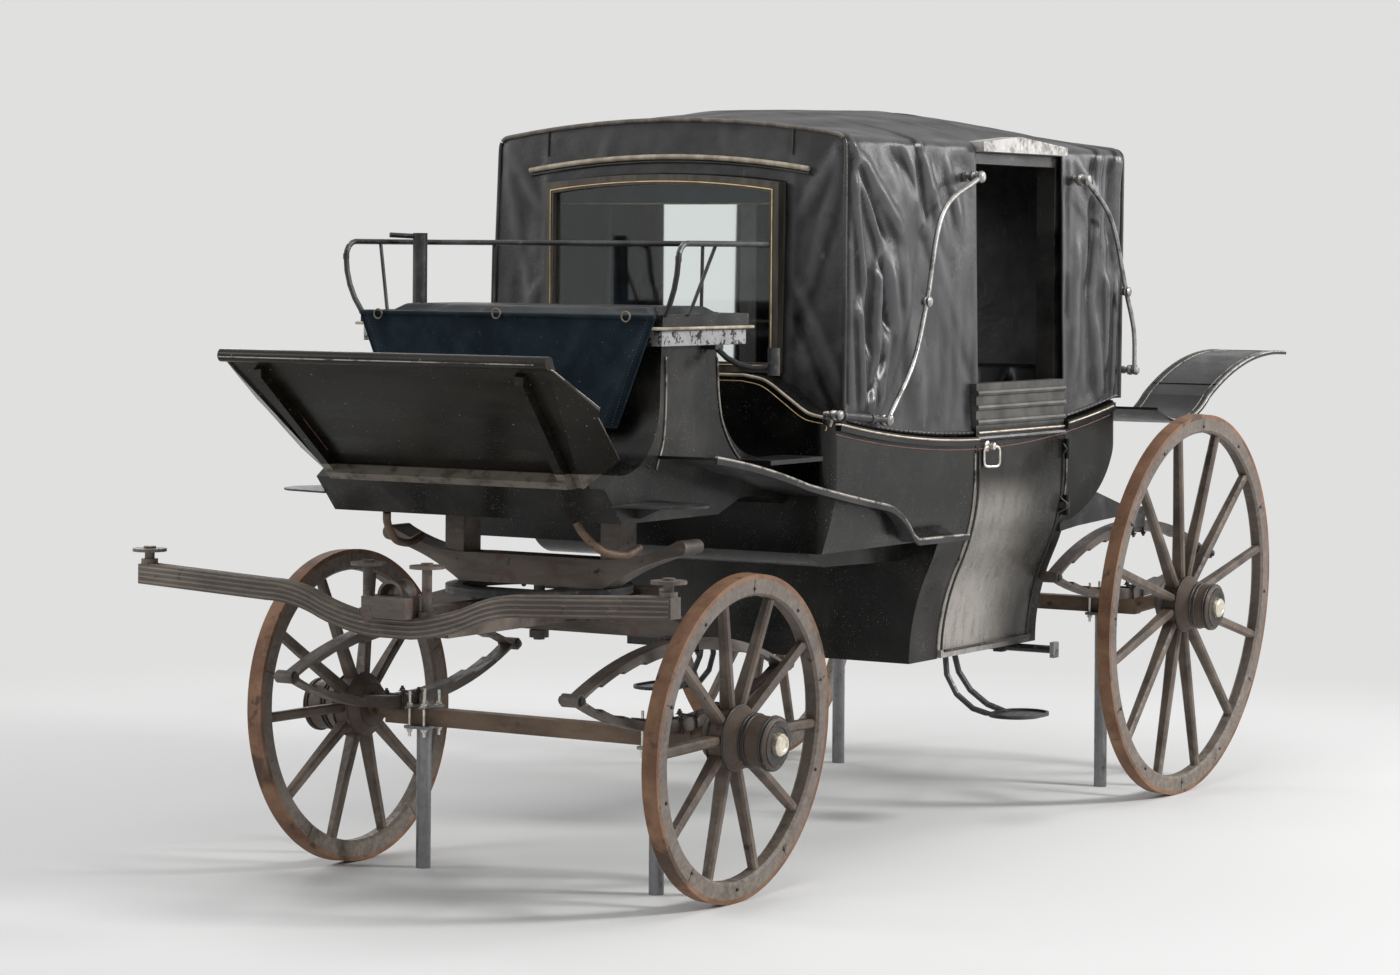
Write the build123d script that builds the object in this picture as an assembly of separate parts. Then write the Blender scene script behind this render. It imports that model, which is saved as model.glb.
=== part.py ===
from build123d import *
import math
import os

# A closed four-wheeled carriage with a leather hood, a driver's box and a turning forecarriage.
# Millimetres. The front faces -Y, the carriage's left side is +X, and the floor is Z = 0.
# The origin lies on the floor, midway between the footboard's lip and the tips of the rear wings.

# Lengths along the carriage, each from one station to the next
front_overhang = 728
boot_length = 501
front_quarter_length = 841
door_width = 580
rear_quarter_length = 370
rear_axle_setback = 522
wing_overhang = 851

# Body widths and heights
belt_half_width = 600
sill_half_width = 480
well_floor_z = 500
tuck_top_z = 1040
quarter_floor_z = 862
belt_mid_z = 1147
belt_end_z = 1226
fence_top_z = 1300
well_front_gap = 170
well_rear_gap = 50
panel_wall = 22
door_thickness = 40
door_gap = 6
corner_radius = 40
end_margin = 4

# Hood
hood_half_width_low = belt_half_width - 12
hood_half_width_top = hood_half_width_low - 16
hood_edge_z = 2000
hood_crown_end = 46
hood_crown_mid = 112
hood_wall = 12
hood_front_inset = 120
hood_split_offset = 280
hood_rear_lean = 77

# Wheels
front_wheel_radius = 425
rear_wheel_radius = 591
front_track_half = 597
rear_track_half = 732
camber = math.degrees(0.06)
tyre_thickness = 12
felloe_depth = 44
wheel_running_gap = 0.05

# Undercarriage
axle_arm_radius = 20
steer_gap = 0.5
soft_gap = 0.3
leaf_thickness = 8
leaf_width = 45
leaf_count = 4
front_spring_x = 448
rear_spring_x = belt_half_width - 45
front_spring_half = 510
rear_spring_half = 560
rear_spring_offset = 40
front_spring_eye_z = 560
rear_spring_eye_z = 700
spring_eye_radius = 17
stand_radius = 20
stand_inboard = 80
front_stand_x = front_spring_x - 73
rear_stand_x = rear_spring_x - stand_inboard
kingpin_radius = 15

# Sections of thin bars and counts of spokes
bar_sides = 8
front_spoke_count = 10
rear_spoke_count = 12

# Stations
overall_length = front_overhang + boot_length + front_quarter_length
overall_length += door_width + rear_axle_setback + wing_overhang
nose_y = -overall_length / 2
front_axle_y = nose_y + front_overhang
cabin_front_y = front_axle_y + boot_length
door_front_y = cabin_front_y + front_quarter_length
door_rear_y = door_front_y + door_width
cabin_rear_y = door_rear_y + rear_quarter_length
rear_axle_y = door_rear_y + rear_axle_setback
rear_spring_y = rear_axle_y + rear_spring_offset
tail_y = rear_axle_y + wing_overhang
well_front_y = door_front_y - well_front_gap
well_rear_y = door_rear_y + well_rear_gap
hood_front_y = cabin_front_y + hood_front_inset
hood_split_y = door_front_y + hood_split_offset
far = 3000


def outline(points):
    """Closed face; a point whose third value is "via" lies on the arc between its neighbours."""
    edges = []
    count = len(points)
    i = 0
    while i < count:
        here = points[i][:2]
        following = points[(i + 1) % count]
        if len(following) == 3:
            end = points[(i + 2) % count][:2]
            edges.append(ThreePointArc(here, following[:2], end))
            i += 2
        else:
            edges.append(Line(here, following[:2]))
            i += 1
    return make_face(edges)


def along_x(face, x_low, x_high):
    """Solid from a face drawn in (Y, Z)."""
    return Pos(x_low, 0, 0) * extrude(Plane.YZ * face, x_high - x_low)


def along_y(face, y_low, y_high):
    """Solid from a face drawn in (X, Z)."""
    return extrude(Pos(0, y_low, 0) * (Plane.XZ * face), y_high - y_low, dir=(0, 1, 0))


def along_z(face, z_low, z_high):
    """Solid from a face drawn in (X, Y)."""
    return Pos(0, 0, z_low) * extrude(face, z_high - z_low)


def block(x_low, x_high, y_low, y_high, z_low, z_high):
    size = (x_high - x_low, y_high - y_low, z_high - z_low)
    centre = ((x_low + x_high) / 2, (y_low + y_high) / 2, (z_low + z_high) / 2)
    return Pos(*centre) * Box(*size)


def rod(start, end, radius, sides=0):
    """Bar between two points: round, or with flat sides where it is thin and nothing turns on it."""
    line = Vector(*end) - Vector(*start)
    place = Plane(origin=start, z_dir=line)
    if sides:
        return place * extrude(RegularPolygon(radius, sides), line.length)
    return place * Cylinder(radius, line.length, align=(Align.CENTER, Align.CENTER, Align.MIN))


def bent_rod(start, middle, end, radius, pieces=4):
    """Thin bar through three points, bent in short straight lengths along their arc."""
    arc = ThreePointArc(start, middle, end)
    spine = Polyline(*[arc @ (number / pieces) for number in range(pieces + 1)])
    section = Plane(origin=start, z_dir=spine % 0) * RegularPolygon(radius, bar_sides)
    return sweep(section, path=spine, transition=Transition.RIGHT)


def solids_of(shape):
    if isinstance(shape, (list, tuple)):
        found = []
        for item in shape:
            found.extend(solids_of(item))
        return found
    return list(shape.solids())


def pair(shape):
    """A left piece and its mirrored right piece."""
    left = solids_of(shape)
    return left + [mirror(one, about=Plane.YZ) for one in left]


nodes = {}


def keep(name, shape):
    nodes[name] = solids_of(shape)


# Body shell: side outline, cross section and plan cut one block
def belt_z(y):
    """Height of the belt line, a shallow arc that sags to its middle."""
    half = (cabin_rear_y - cabin_front_y) / 2
    rise = belt_end_z - belt_mid_z
    radius = (half * half + rise * rise) / (2 * rise)
    from_middle = y - (cabin_rear_y + cabin_front_y) / 2
    return belt_mid_z + radius - math.sqrt(radius * radius - from_middle * from_middle)


def side_x(z, inset=0):
    """Half width of the body at a height: straight above, an S curve that tucks in below."""
    if z >= tuck_top_z:
        return belt_half_width - inset
    half_height = (tuck_top_z - well_floor_z) / 2
    half_tuck = (belt_half_width - sill_half_width) / 2
    radius = (half_height**2 + half_tuck**2) / (2 * half_tuck)
    depth = tuck_top_z - z
    if depth <= half_height:
        return belt_half_width - inset - (radius - math.sqrt(radius**2 - depth**2))
    rest = max(0, z - well_floor_z)
    return sill_half_width - inset + (radius - math.sqrt(radius**2 - rest**2))


def body_section(inset, low, high):
    """Cross section (X, Z) of the whole body between two heights."""
    middle_z = (tuck_top_z + well_floor_z) / 2
    upper_via = (tuck_top_z + middle_z) / 2
    lower_via = (well_floor_z + middle_z) / 2
    right = [
        (side_x(well_floor_z, inset), low),
        (side_x(well_floor_z, inset), well_floor_z),
        (side_x(lower_via, inset), lower_via, "via"),
        (side_x(middle_z, inset), middle_z),
        (side_x(upper_via, inset), upper_via, "via"),
        (side_x(tuck_top_z, inset), tuck_top_z),
        (side_x(tuck_top_z, inset), high),
    ]
    left = [(-p[0],) + p[1:] for p in reversed(right)]
    return outline(right + left)


def body_side(inset, belt_lift):
    """Side outline (Y, Z): quarters, well and the round rear corner, up to the belt line.

    It runs a little past the body's ends, which the plan cuts.
    """
    front = cabin_front_y + inset - end_margin
    rear = cabin_rear_y - inset + end_margin
    corner = rear_quarter_length - inset + end_margin
    quarter = quarter_floor_z + inset
    top_rear = belt_z(cabin_rear_y) + belt_lift
    top_mid_y = (cabin_front_y + cabin_rear_y) / 2
    bend = corner * (1 - math.sqrt(0.5))
    centre_y = rear - corner
    centre_z = quarter + corner
    arc_top = min(top_rear, centre_z)
    arc_top_y = centre_y + math.sqrt(corner**2 - (centre_z - arc_top) ** 2)
    points = [
        (front, quarter),
        (well_front_y + inset, quarter),
        (well_front_y + inset, well_floor_z + inset),
        (well_rear_y - inset, well_floor_z + inset),
        (well_rear_y - inset, centre_z - math.sqrt(corner**2 - (well_rear_y - inset - centre_y) ** 2)),
        (rear - bend, quarter + bend, "via"),
        (arc_top_y, arc_top),
    ]
    if top_rear > centre_z:
        points.append((rear, top_rear))
    points.append((top_mid_y, belt_z(top_mid_y) + belt_lift, "via"))
    points.append((front, top_rear))
    return outline(points)


def body_plan(inset):
    width = belt_half_width - inset
    length = cabin_rear_y - cabin_front_y - 2 * inset
    middle = (cabin_rear_y + cabin_front_y) / 2
    radius = corner_radius - inset * 0.5
    return Pos(0, middle, 0) * RectangleRounded(2 * width, length, radius)


def body_block(inset, belt_lift):
    block_side = along_x(body_side(inset, belt_lift), -far / 4, far / 4)
    section_low = well_floor_z - 50
    block_section = along_y(body_section(inset, section_low, 1500), cabin_front_y - 50, cabin_rear_y + 50)
    block_plan = along_z(body_plan(inset), section_low, 1500)
    return block_side & block_section & block_plan


body_outer = body_block(0, 0)
body_inner = body_block(panel_wall, 40)
shell = body_outer - body_inner
half_span = belt_half_width + 50
door_space = block(-half_span, half_span, door_front_y, door_rear_y, well_floor_z - 1, belt_end_z + 50)
door_space += block(-half_span, half_span, door_front_y, door_rear_y, well_floor_z - 1, well_floor_z + 1)
below_quarters = block(-half_span, half_span, well_front_y - 5, door_rear_y + 400, 400, quarter_floor_z)
front_half = block(-half_span, half_span, cabin_front_y - 50, door_front_y, 400, 1400)
rear_half = block(-half_span, half_span, door_rear_y, cabin_rear_y + 50, 400, 1400)
sill_band = block(-half_span, half_span, door_front_y, door_rear_y, 400, well_floor_z + panel_wall)

# Belt moulding: a half-round strip that follows the belt line
belt_depth = 24
belt_proud = 12


def belt_strip(y_low, y_high):
    y_mid = (y_low + y_high) / 2
    strip = outline([
        (y_low, belt_z(y_low) - belt_depth),
        (y_mid, belt_z(y_mid) - belt_depth, "via"),
        (y_high, belt_z(y_high) - belt_depth),
        (y_high, belt_z(y_high)),
        (y_mid, belt_z(y_mid), "via"),
        (y_low, belt_z(y_low)),
    ])
    inside = belt_half_width - 4
    outside = belt_half_width + belt_proud
    return along_x(strip, inside, outside) + along_x(strip, -outside, -inside)


# Standing pillars beside the doorway, and hinge knuckles on the rear ones
post_out_x = belt_half_width - door_thickness - 5
post_in_x = post_out_x - 60
post_deep = 50
post_low_z = quarter_floor_z + panel_wall
post_high_z = belt_mid_z
window_front_y = door_front_y + 45
window_rear_y = door_rear_y + 12
hinge_x = belt_half_width + 12
hinge_y = door_rear_y - door_gap / 2
hinge_radius = 7
hinge_sides = 12
hinge_pin_radius = 4
hinge_half = 30
hinge_third = 10
hinge_gap = 0.4
hinge_web = 10


def hinge_body(z):
    """Fixed half of a left hinge: two knuckles on webs, and the pin."""
    fixed = rod((hinge_x, hinge_y, z - hinge_half), (hinge_x, hinge_y, z + hinge_half), hinge_pin_radius)
    for low, high in ((z - hinge_half, z - hinge_third - hinge_gap), (z + hinge_third + hinge_gap, z + hinge_half)):
        fixed += rod((hinge_x, hinge_y, low), (hinge_x, hinge_y, high), hinge_radius, hinge_sides)
        fixed += block(side_x(z) - hinge_web, hinge_x, hinge_y, hinge_y + hinge_web, low, high)
    return fixed


def hinge_door(z):
    """Moving half of a left hinge: one bored knuckle on a web."""
    low = z - hinge_third
    high = z + hinge_third
    moving = rod((hinge_x, hinge_y, low), (hinge_x, hinge_y, high), hinge_radius, hinge_sides)
    moving += block(side_x(z) - hinge_web, hinge_x, hinge_y - hinge_web, hinge_y, low, high)
    bore = rod((hinge_x, hinge_y, low - 1), (hinge_x, hinge_y, high + 1), hinge_pin_radius + wheel_running_gap)
    return moving - bore


hinge_heights = (920, 1090)
post_space = body_block(panel_wall / 2, 0)
post_foot_z = post_low_z - panel_wall / 4
front_posts = block(post_in_x, belt_half_width, door_front_y - post_deep, door_front_y, post_foot_z, post_high_z)
front_posts += block(post_in_x, post_out_x, door_front_y - 5, window_front_y, tuck_top_z + 5, post_high_z)
front_posts &= post_space
rear_posts = block(post_in_x, belt_half_width, window_rear_y, window_rear_y + post_deep, post_foot_z, post_high_z)
rear_posts &= post_space
for height in hinge_heights:
    rear_posts += hinge_body(height)
front_quarters = (shell & front_half) - below_quarters
front_quarters += front_posts + mirror(front_posts, about=Plane.YZ)
front_quarters += belt_strip(cabin_front_y + corner_radius, door_front_y)
keep("front_quarters", front_quarters)
rear_quarters = (shell & rear_half) - block(-half_span, half_span, door_rear_y, well_rear_y, 400, quarter_floor_z)
rear_quarters -= block(-half_span, half_span, door_rear_y, well_rear_y + 1, 400, quarter_floor_z + 1)
rear_quarters += rear_posts + mirror(rear_posts, about=Plane.YZ)
rear_quarters += belt_strip(door_rear_y, cabin_rear_y - corner_radius)
keep("rear_quarters", rear_quarters)
well = shell & (block(-half_span, half_span, well_front_y - 5, well_rear_y + 1, 400, quarter_floor_z))
well -= block(-half_span, half_span, door_front_y, door_rear_y, well_floor_z + panel_wall, 1400)
well_side_cut = sill_half_width - door_thickness - door_gap
for side in (-1, 1):
    low = min(side * well_side_cut, side * half_span)
    high = max(side * well_side_cut, side * half_span)
    well -= block(low, high, door_front_y, door_rear_y, 400, 1400)
keep("cabin_well", well)

# Front panel of the cabin: it rises between two S-shaped shoulders
shoulder_in_x = 330
shoulder_top_z = 1340
front_panel_depth = 91


def shoulder_outline(inset, low):
    top = shoulder_top_z - inset
    side_top = belt_end_z + 2
    outer = belt_half_width - inset
    middle_x = (outer + shoulder_in_x) / 2
    middle_z = (top + side_top) / 2
    quarter_x = (outer - shoulder_in_x) / 4
    quarter_z = (top - side_top) / 4
    bow = 14
    right = [
        (outer, low),
        (outer, side_top),
        (outer - quarter_x, side_top + quarter_z - bow, "via"),
        (middle_x, middle_z),
        (shoulder_in_x + quarter_x, top - quarter_z + bow, "via"),
        (shoulder_in_x, top),
    ]
    left = [(-p[0],) + p[1:] for p in reversed(right)]
    return outline(right + left)


panel_low = belt_end_z - 12
upper_panel = along_y(shoulder_outline(0, panel_low), cabin_front_y, cabin_front_y + panel_wall)
upper_band = along_y(shoulder_outline(0, panel_low), cabin_front_y, cabin_front_y + front_panel_depth)
upper_band -= along_y(shoulder_outline(18, panel_low - 1), cabin_front_y - 1, cabin_front_y + far)
keep("front_panel", (upper_panel + upper_band) - front_quarters)

# Hood: one leather shell over hoops, in a front and a rear half
hood_low_clear = 0.3
hood_base_z = 1050


def hood_x(z):
    """Half width of the hood's leather at a height."""
    share = (z - hood_base_z) / (hood_edge_z - hood_base_z)
    return hood_half_width_low + share * (hood_half_width_top - hood_half_width_low)


def hood_section(inset, crown, low):
    low_x = hood_half_width_low - inset
    top_x = hood_half_width_top - inset
    edge = hood_edge_z - inset
    return outline([
        (-low_x, low),
        (low_x, low),
        (top_x, edge),
        (0, edge + crown, "via"),
        (-top_x, edge),
    ])


def hood_block(inset, low):
    rear_y = cabin_rear_y + hood_rear_lean + 60
    stations = (
        (hood_front_y - 60, hood_crown_end),
        (hood_split_y, hood_crown_mid),
        (rear_y, hood_crown_end),
    )
    parts = []
    for here, following in zip(stations, stations[1:]):
        first = Pos(0, here[0], 0) * (Plane.XZ * hood_section(inset, here[1], low))
        second = Pos(0, following[0], 0) * (Plane.XZ * hood_section(inset, following[1], low))
        parts.append(loft([first, second], ruled=True))
    side = outline([
        (hood_front_y - 28 + inset, low - 1),
        (hood_front_y + 10 + inset, hood_edge_z + 300),
        (cabin_rear_y + hood_rear_lean + 25 - inset, hood_edge_z + 300),
        (cabin_rear_y + 35 - inset, low - 1),
    ])
    return (parts[0] + parts[1]) & along_x(side, -far / 4, far / 4)


belt_cut = outline([
    (cabin_front_y - 100, 1000),
    (cabin_front_y - 100, belt_z(cabin_front_y) + hood_low_clear),
    (cabin_front_y, belt_z(cabin_front_y) + hood_low_clear),
    ((cabin_front_y + cabin_rear_y) / 2, belt_mid_z + hood_low_clear, "via"),
    (cabin_rear_y, belt_z(cabin_rear_y) + hood_low_clear),
    (cabin_rear_y + 200, belt_z(cabin_rear_y) + hood_low_clear),
    (cabin_rear_y + 200, 1000),
])
hood = hood_block(0, hood_base_z) - hood_block(hood_wall, hood_base_z - 10) - along_x(belt_cut, -far / 4, far / 4)
window_top_z = hood_edge_z - 28
for side in (-1, 1):
    low = min(side * 450, side * 700)
    high = max(side * 450, side * 700)
    hood -= block(low, high, window_front_y, window_rear_y, 1000, window_top_z)
    hood -= block(low, high, door_front_y - door_gap, door_rear_y + door_gap, 1000, fence_top_z + door_gap)
front_window_half = 365
front_window_low = 1366
front_window_high = 1870
front_window_arch = 24


def window_outline(grow):
    half = front_window_half + grow
    top = front_window_high - front_window_arch + grow
    return outline([
        (-half, front_window_low - grow),
        (half, front_window_low - grow),
        (half, top),
        (0, top + front_window_arch, "via"),
        (-half, top),
    ])


window_frame_wide = 22
hood -= along_y(window_outline(window_frame_wide), hood_front_y - 100, hood_front_y + 100)
cap_height = 40
cap_out_x = belt_half_width - 2
cap_in_x = post_in_x + 40
cap_side = outline([
    (window_front_y, window_top_z),
    (window_front_y, window_top_z + 28),
    (hood_split_y, window_top_z + 28 + cap_height / 2),
    (window_rear_y, window_top_z + 24),
    (window_rear_y, window_top_z),
])
cap_blank = along_x(cap_side, cap_in_x, cap_out_x)
caps = []
for cut_low, cut_high in ((window_front_y - 1, hood_split_y - 0.5), (hood_split_y + 0.5, window_rear_y + 1)):
    caps.append(cap_blank & block(0, far, cut_low, cut_high, window_top_z - cap_height, window_top_z + 2 * cap_height))
hood -= block(cap_in_x, cap_out_x, window_front_y, window_rear_y, window_top_z - 1, window_top_z + 2 * cap_height)
hood -= block(-cap_out_x, -cap_in_x, window_front_y, window_rear_y, window_top_z - 1, window_top_z + 2 * cap_height)
keep("door_caps", pair(caps))
hood_front = hood & block(-far, far, nose_y, hood_split_y, 0, far)
hood_rear = hood & block(-far, far, hood_split_y, tail_y, 0, far)
keep("hood_front", hood_front)
keep("hood_rear", hood_rear)

# Front window: arched wooden frame in the front wall, its pane, and the drip moulding above it
frame_depth = 40
frame_y = hood_front_y - 20
frame = along_y(window_outline(window_frame_wide - 0.5), frame_y - frame_depth / 2, frame_y + frame_depth / 2)
frame -= along_y(window_outline(-6), frame_y - frame_depth, frame_y + frame_depth)
pane_thickness = 5
pane_groove = along_y(window_outline(2), frame_y - pane_thickness / 2, frame_y + pane_thickness / 2)
frame -= pane_groove
keep("front_window_frame", frame)
pane = along_y(window_outline(1.7), frame_y - pane_thickness / 2 + 0.3, frame_y + pane_thickness / 2 - 0.3)
keep("front_window_pane", pane)

# Door pillars and head rails
pillar_low_z = post_high_z
pillars = block(post_in_x, post_out_x, window_front_y - post_deep, window_front_y, pillar_low_z, window_top_z)
pillars += block(post_in_x, post_out_x, window_rear_y, window_rear_y + post_deep, pillar_low_z, window_top_z)
rail_low = window_top_z - 35
pillars += block(post_in_x, post_out_x, window_front_y - 1, window_rear_y + 1, rail_low, window_top_z)
keep("door_pillars", pair(pillars))

# Doors: cut from the body's own section, thicker, with a fence above the belt
door_outer = along_y(body_section(0, 400, 1500), door_front_y + door_gap, door_rear_y - door_gap)
door_inner = along_y(body_section(door_thickness, 300, 1600), door_front_y, door_rear_y)
door_skin = door_outer - door_inner
door_top = fence_top_z
door_skin &= block(0, 700, door_front_y, door_rear_y, well_floor_z + 2, door_top)
door_body = door_skin
rail_heights = (belt_z((door_front_y + door_rear_y) / 2) - belt_depth / 2, 1188, 1230, 1272)
for rail_z in rail_heights:
    rail_bar = rod((belt_half_width, door_front_y + door_gap, rail_z), (belt_half_width, door_rear_y - door_gap, rail_z), 9,
                   bar_sides)
    door_body += rail_bar
bottom_rail = block(side_x(well_floor_z) - 20, side_x(well_floor_z) + 10, door_front_y + door_gap,
                    door_rear_y - door_gap, well_floor_z + 2, well_floor_z + 24)
door_body += bottom_rail
for height in hinge_heights:
    door_body += hinge_door(height)
keep("door_left", door_body)
keep("door_right", mirror(door_body, about=Plane.YZ))
handle_y = door_front_y + 70
handle_z = 1100
handle = rod((belt_half_width, handle_y, handle_z), (belt_half_width + 26, handle_y, handle_z), 9)
loop_x = belt_half_width + 20
loop = block(loop_x, loop_x + 9, handle_y - 26, handle_y + 30, handle_z - 26, handle_z + 26)
loop -= block(loop_x - 1, loop_x + 10, handle_y - 16, handle_y + 20, handle_z - 16, handle_z + 16)
handle += loop
handle += block(loop_x, loop_x + 9, handle_y - 26, handle_y - 6, handle_z - 8, handle_z + 8)
keep("door_handle_left", handle)
keep("door_handle_right", mirror(handle, about=Plane.YZ))

# Seats in the cabin: boards on the quarters' floors, heel boards, and stuffed cushions and squabs
seat_half = post_in_x - 5
seat_board_z = quarter_floor_z + panel_wall + 1
board_thickness = 18
cushion_low = seat_board_z + board_thickness + soft_gap
cushion_high = cushion_low + 125
squab_thickness = 90
rear_seat_front_y = door_rear_y - 95
front_seat_rear_y = door_front_y - 130
front_wall_y = cabin_front_y + panel_wall
seat_space = body_block(panel_wall + 1, 300)


def cabin_piece(points):
    """Piece across the cabin from its side outline (Y, Z), trimmed to the body's inside."""
    return along_x(outline(points), -seat_half, seat_half) & seat_space


heel_half = sill_half_width - door_thickness - 14
heels = [
    block(-heel_half, heel_half, rear_seat_front_y + 20, rear_seat_front_y + 20 + board_thickness,
          well_floor_z + panel_wall, seat_board_z),
    block(-heel_half, heel_half, well_front_y + panel_wall + 1, well_front_y + panel_wall + 1 + board_thickness,
          well_floor_z + panel_wall, seat_board_z),
]
keep("seat_heel_boards", heels)
seat_boards = [
    block(-seat_half, seat_half, rear_seat_front_y + 10, door_rear_y + 24, seat_board_z, seat_board_z + board_thickness),
    block(-seat_half, seat_half, front_wall_y + 40, front_seat_rear_y - 10, seat_board_z, seat_board_z + board_thickness),
]
keep("seat_boards", [board & seat_space for board in seat_boards])
rear_back_low_y = door_rear_y + 235
rear_back_high_y = cabin_rear_y - 20
rear_back_low_z = cushion_high - 10
rear_back_high_z = belt_mid_z + 190
keep("rear_seat_cushion", cabin_piece([
    (rear_seat_front_y, cushion_low), (door_rear_y + 110, cushion_low), (rear_back_low_y - 10, cushion_high - 35),
    (rear_back_low_y - 10, cushion_high - 12), (rear_back_low_y - 40, cushion_high), (rear_seat_front_y + 15, cushion_high),
    (rear_seat_front_y, cushion_high - 15),
]))
keep("rear_seat_squab", cabin_piece([
    (rear_back_low_y, rear_back_low_z), (rear_back_low_y + 60, rear_back_low_z), (rear_back_high_y, rear_back_low_z + 150),
    (rear_back_high_y, rear_back_high_z), (rear_back_high_y - 40, rear_back_high_z),
    (rear_back_low_y + 20, rear_back_low_z + 150),
]))
front_back_y = front_wall_y + 30
keep("front_seat_cushion", cabin_piece([
    (front_back_y + squab_thickness + soft_gap, cushion_low), (front_seat_rear_y, cushion_low),
    (front_seat_rear_y, cushion_high - 15), (front_seat_rear_y - 15, cushion_high),
    (front_back_y + squab_thickness + soft_gap, cushion_high),
]))
keep("front_seat_squab", cabin_piece([
    (front_back_y, cushion_low), (front_back_y + squab_thickness, cushion_low),
    (front_back_y + squab_thickness, belt_end_z - 40), (front_back_y, belt_end_z - 40),
]))

# Driver's boot: the carved side outline is cut from one block, hollow below the seat
boot_half = 455
boot_floor_z = 985
seat_low_z = 1432
toe_y = front_axle_y - 380
toe_slope = 82
boot_side_points = [
    (toe_y + toe_slope, boot_floor_z),
    (front_axle_y + 165, boot_floor_z),
    (front_axle_y + 270, boot_floor_z + 36),
    (front_axle_y + 370, boot_floor_z + 38, "via"),
    (cabin_front_y - soft_gap, boot_floor_z + 10),
    (cabin_front_y - soft_gap, boot_floor_z + 118),
    (front_axle_y + 318, boot_floor_z + 150),
    (front_axle_y + 208, boot_floor_z + 220, "via"),
    (front_axle_y + 165, boot_floor_z + 330),
    (front_axle_y + 150, seat_low_z),
    (front_axle_y - 119, seat_low_z),
    (front_axle_y - 125, boot_floor_z + 300),
    (front_axle_y - 190, boot_floor_z + 165, "via"),
    (front_axle_y - 330, boot_floor_z + 125),
]
boot_back_points = boot_side_points + [(toe_y, boot_floor_z + 92)]
boot = along_x(outline(boot_back_points), -boot_half, boot_half)
rocker = along_x(outline([
    (cabin_front_y + 130, quarter_floor_z), (cabin_front_y + 165, boot_floor_z - 155, "via"),
    (cabin_front_y + 225, boot_floor_z - 178), (well_front_y - soft_gap, boot_floor_z - 190),
    (well_front_y - soft_gap, quarter_floor_z),
]), -boot_half, boot_half)
keep("driver_boot", [boot, rocker])

# Driver's seat: board, stepped side mouldings, cushion and guard rail
seat_front_y = front_axle_y - 164
seat_rear_y = front_axle_y + 279
seat_out_x = boot_half + 35
seat_steps = (
    # low, high, inset
    (seat_low_z, seat_low_z + 42, 14),
    (seat_low_z + 42, seat_low_z + 50, 0),
    (seat_low_z + 50, seat_low_z + 82, 8),
)
driver_seat = None
for step_low, step_high, step_in in seat_steps:
    layer = block(-seat_out_x + step_in, seat_out_x - step_in, seat_front_y + step_in, seat_rear_y - step_in,
                  step_low, step_high)
    driver_seat = layer if driver_seat is None else driver_seat + layer
seat_top_z = seat_low_z + 82
driver_seat -= block(-seat_out_x + 40, seat_out_x - 40, seat_front_y + 40, seat_rear_y - 40, seat_low_z + 30, seat_top_z + 1)
keep("driver_seat", driver_seat)
driver_cushion = block(-seat_out_x + 41, seat_out_x - 41, seat_front_y + 41, seat_rear_y - 41,
                       seat_low_z + 30 + soft_gap, seat_top_z + 14)
keep("driver_cushion", chamfer(driver_cushion.edges(), 12))
rail_z = 1697
rail_radius = 7.5
rail_front_x = seat_out_x + 40
rail_back_x = seat_out_x + 66
rail_corner = 40
rail_front_y = seat_front_y + 5
rail_back_y = seat_rear_y - 15
rail = rod((rail_front_x, rail_front_y + rail_corner, rail_z), (rail_back_x, rail_back_y - rail_corner, rail_z),
           rail_radius, bar_sides)
rail += rod((0, rail_back_y, rail_z), (rail_back_x - rail_corner, rail_back_y, rail_z), rail_radius, bar_sides)
bend_x = rail_back_x - rail_corner * (1 - math.sqrt(0.5))
bend_y = rail_back_y - rail_corner * (1 - math.sqrt(0.5))
rail += bent_rod((rail_back_x - rail_corner, rail_back_y, rail_z), (bend_x, bend_y, rail_z),
                 (rail_back_x, rail_back_y - rail_corner, rail_z), rail_radius)
rail += bent_rod((rail_front_x, rail_front_y + rail_corner, rail_z),
                 (rail_front_x, rail_front_y + rail_corner * 0.3, rail_z - rail_corner * 0.3),
                 (rail_front_x, rail_front_y, rail_z - rail_corner), rail_radius)
post_foot_x = seat_out_x - 6
rail += bent_rod((rail_front_x, rail_front_y, rail_z - rail_corner), (rail_front_x - 8, rail_front_y, rail_z - 100),
                 (post_foot_x, rail_front_y + 10, seat_top_z - 4), rail_radius)
rail += rod((rail_front_x, rail_front_y, rail_z - rail_corner - rail_radius),
            (rail_front_x, rail_front_y, rail_z - rail_corner + rail_radius), rail_radius + 1, bar_sides)
rail += rod((post_foot_x, seat_front_y + 130, seat_top_z - 4), (rail_front_x + 10, seat_front_y + 172, rail_z), 5, bar_sides)
rail += rod((seat_out_x - 150, seat_rear_y - 20, seat_top_z - 4), (seat_out_x - 150, rail_back_y, rail_z), 5, bar_sides)
rail_left = rail - driver_seat
guard = rail_left + mirror(rail_left, about=Plane.YZ)
keep("seat_guard_rail", guard)

# Apron of cloth that hangs from the seat's front edge
apron_top_half = seat_out_x - 20
apron_low_half = apron_top_half - 118
apron_low_z = 1222
apron_thickness = 4
apron_y = seat_front_y - soft_gap
apron_shape = outline([
    (-apron_low_half, apron_low_z), (apron_low_half, apron_low_z),
    (apron_top_half, seat_top_z - 6), (-apron_top_half, seat_top_z - 6),
])
keep("seat_apron", along_y(apron_shape, apron_y - apron_thickness, apron_y))

# Brake column beside the driver
column_x = 20 - seat_out_x
column_y = front_axle_y + 96
column = rod((column_x, column_y, seat_top_z), (column_x, column_y, 1722), 20)
column += rod((column_x, column_y, 1712), (column_x - 60, column_y - 60, 1716), 7, bar_sides)
keep("brake_column", column)

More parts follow.
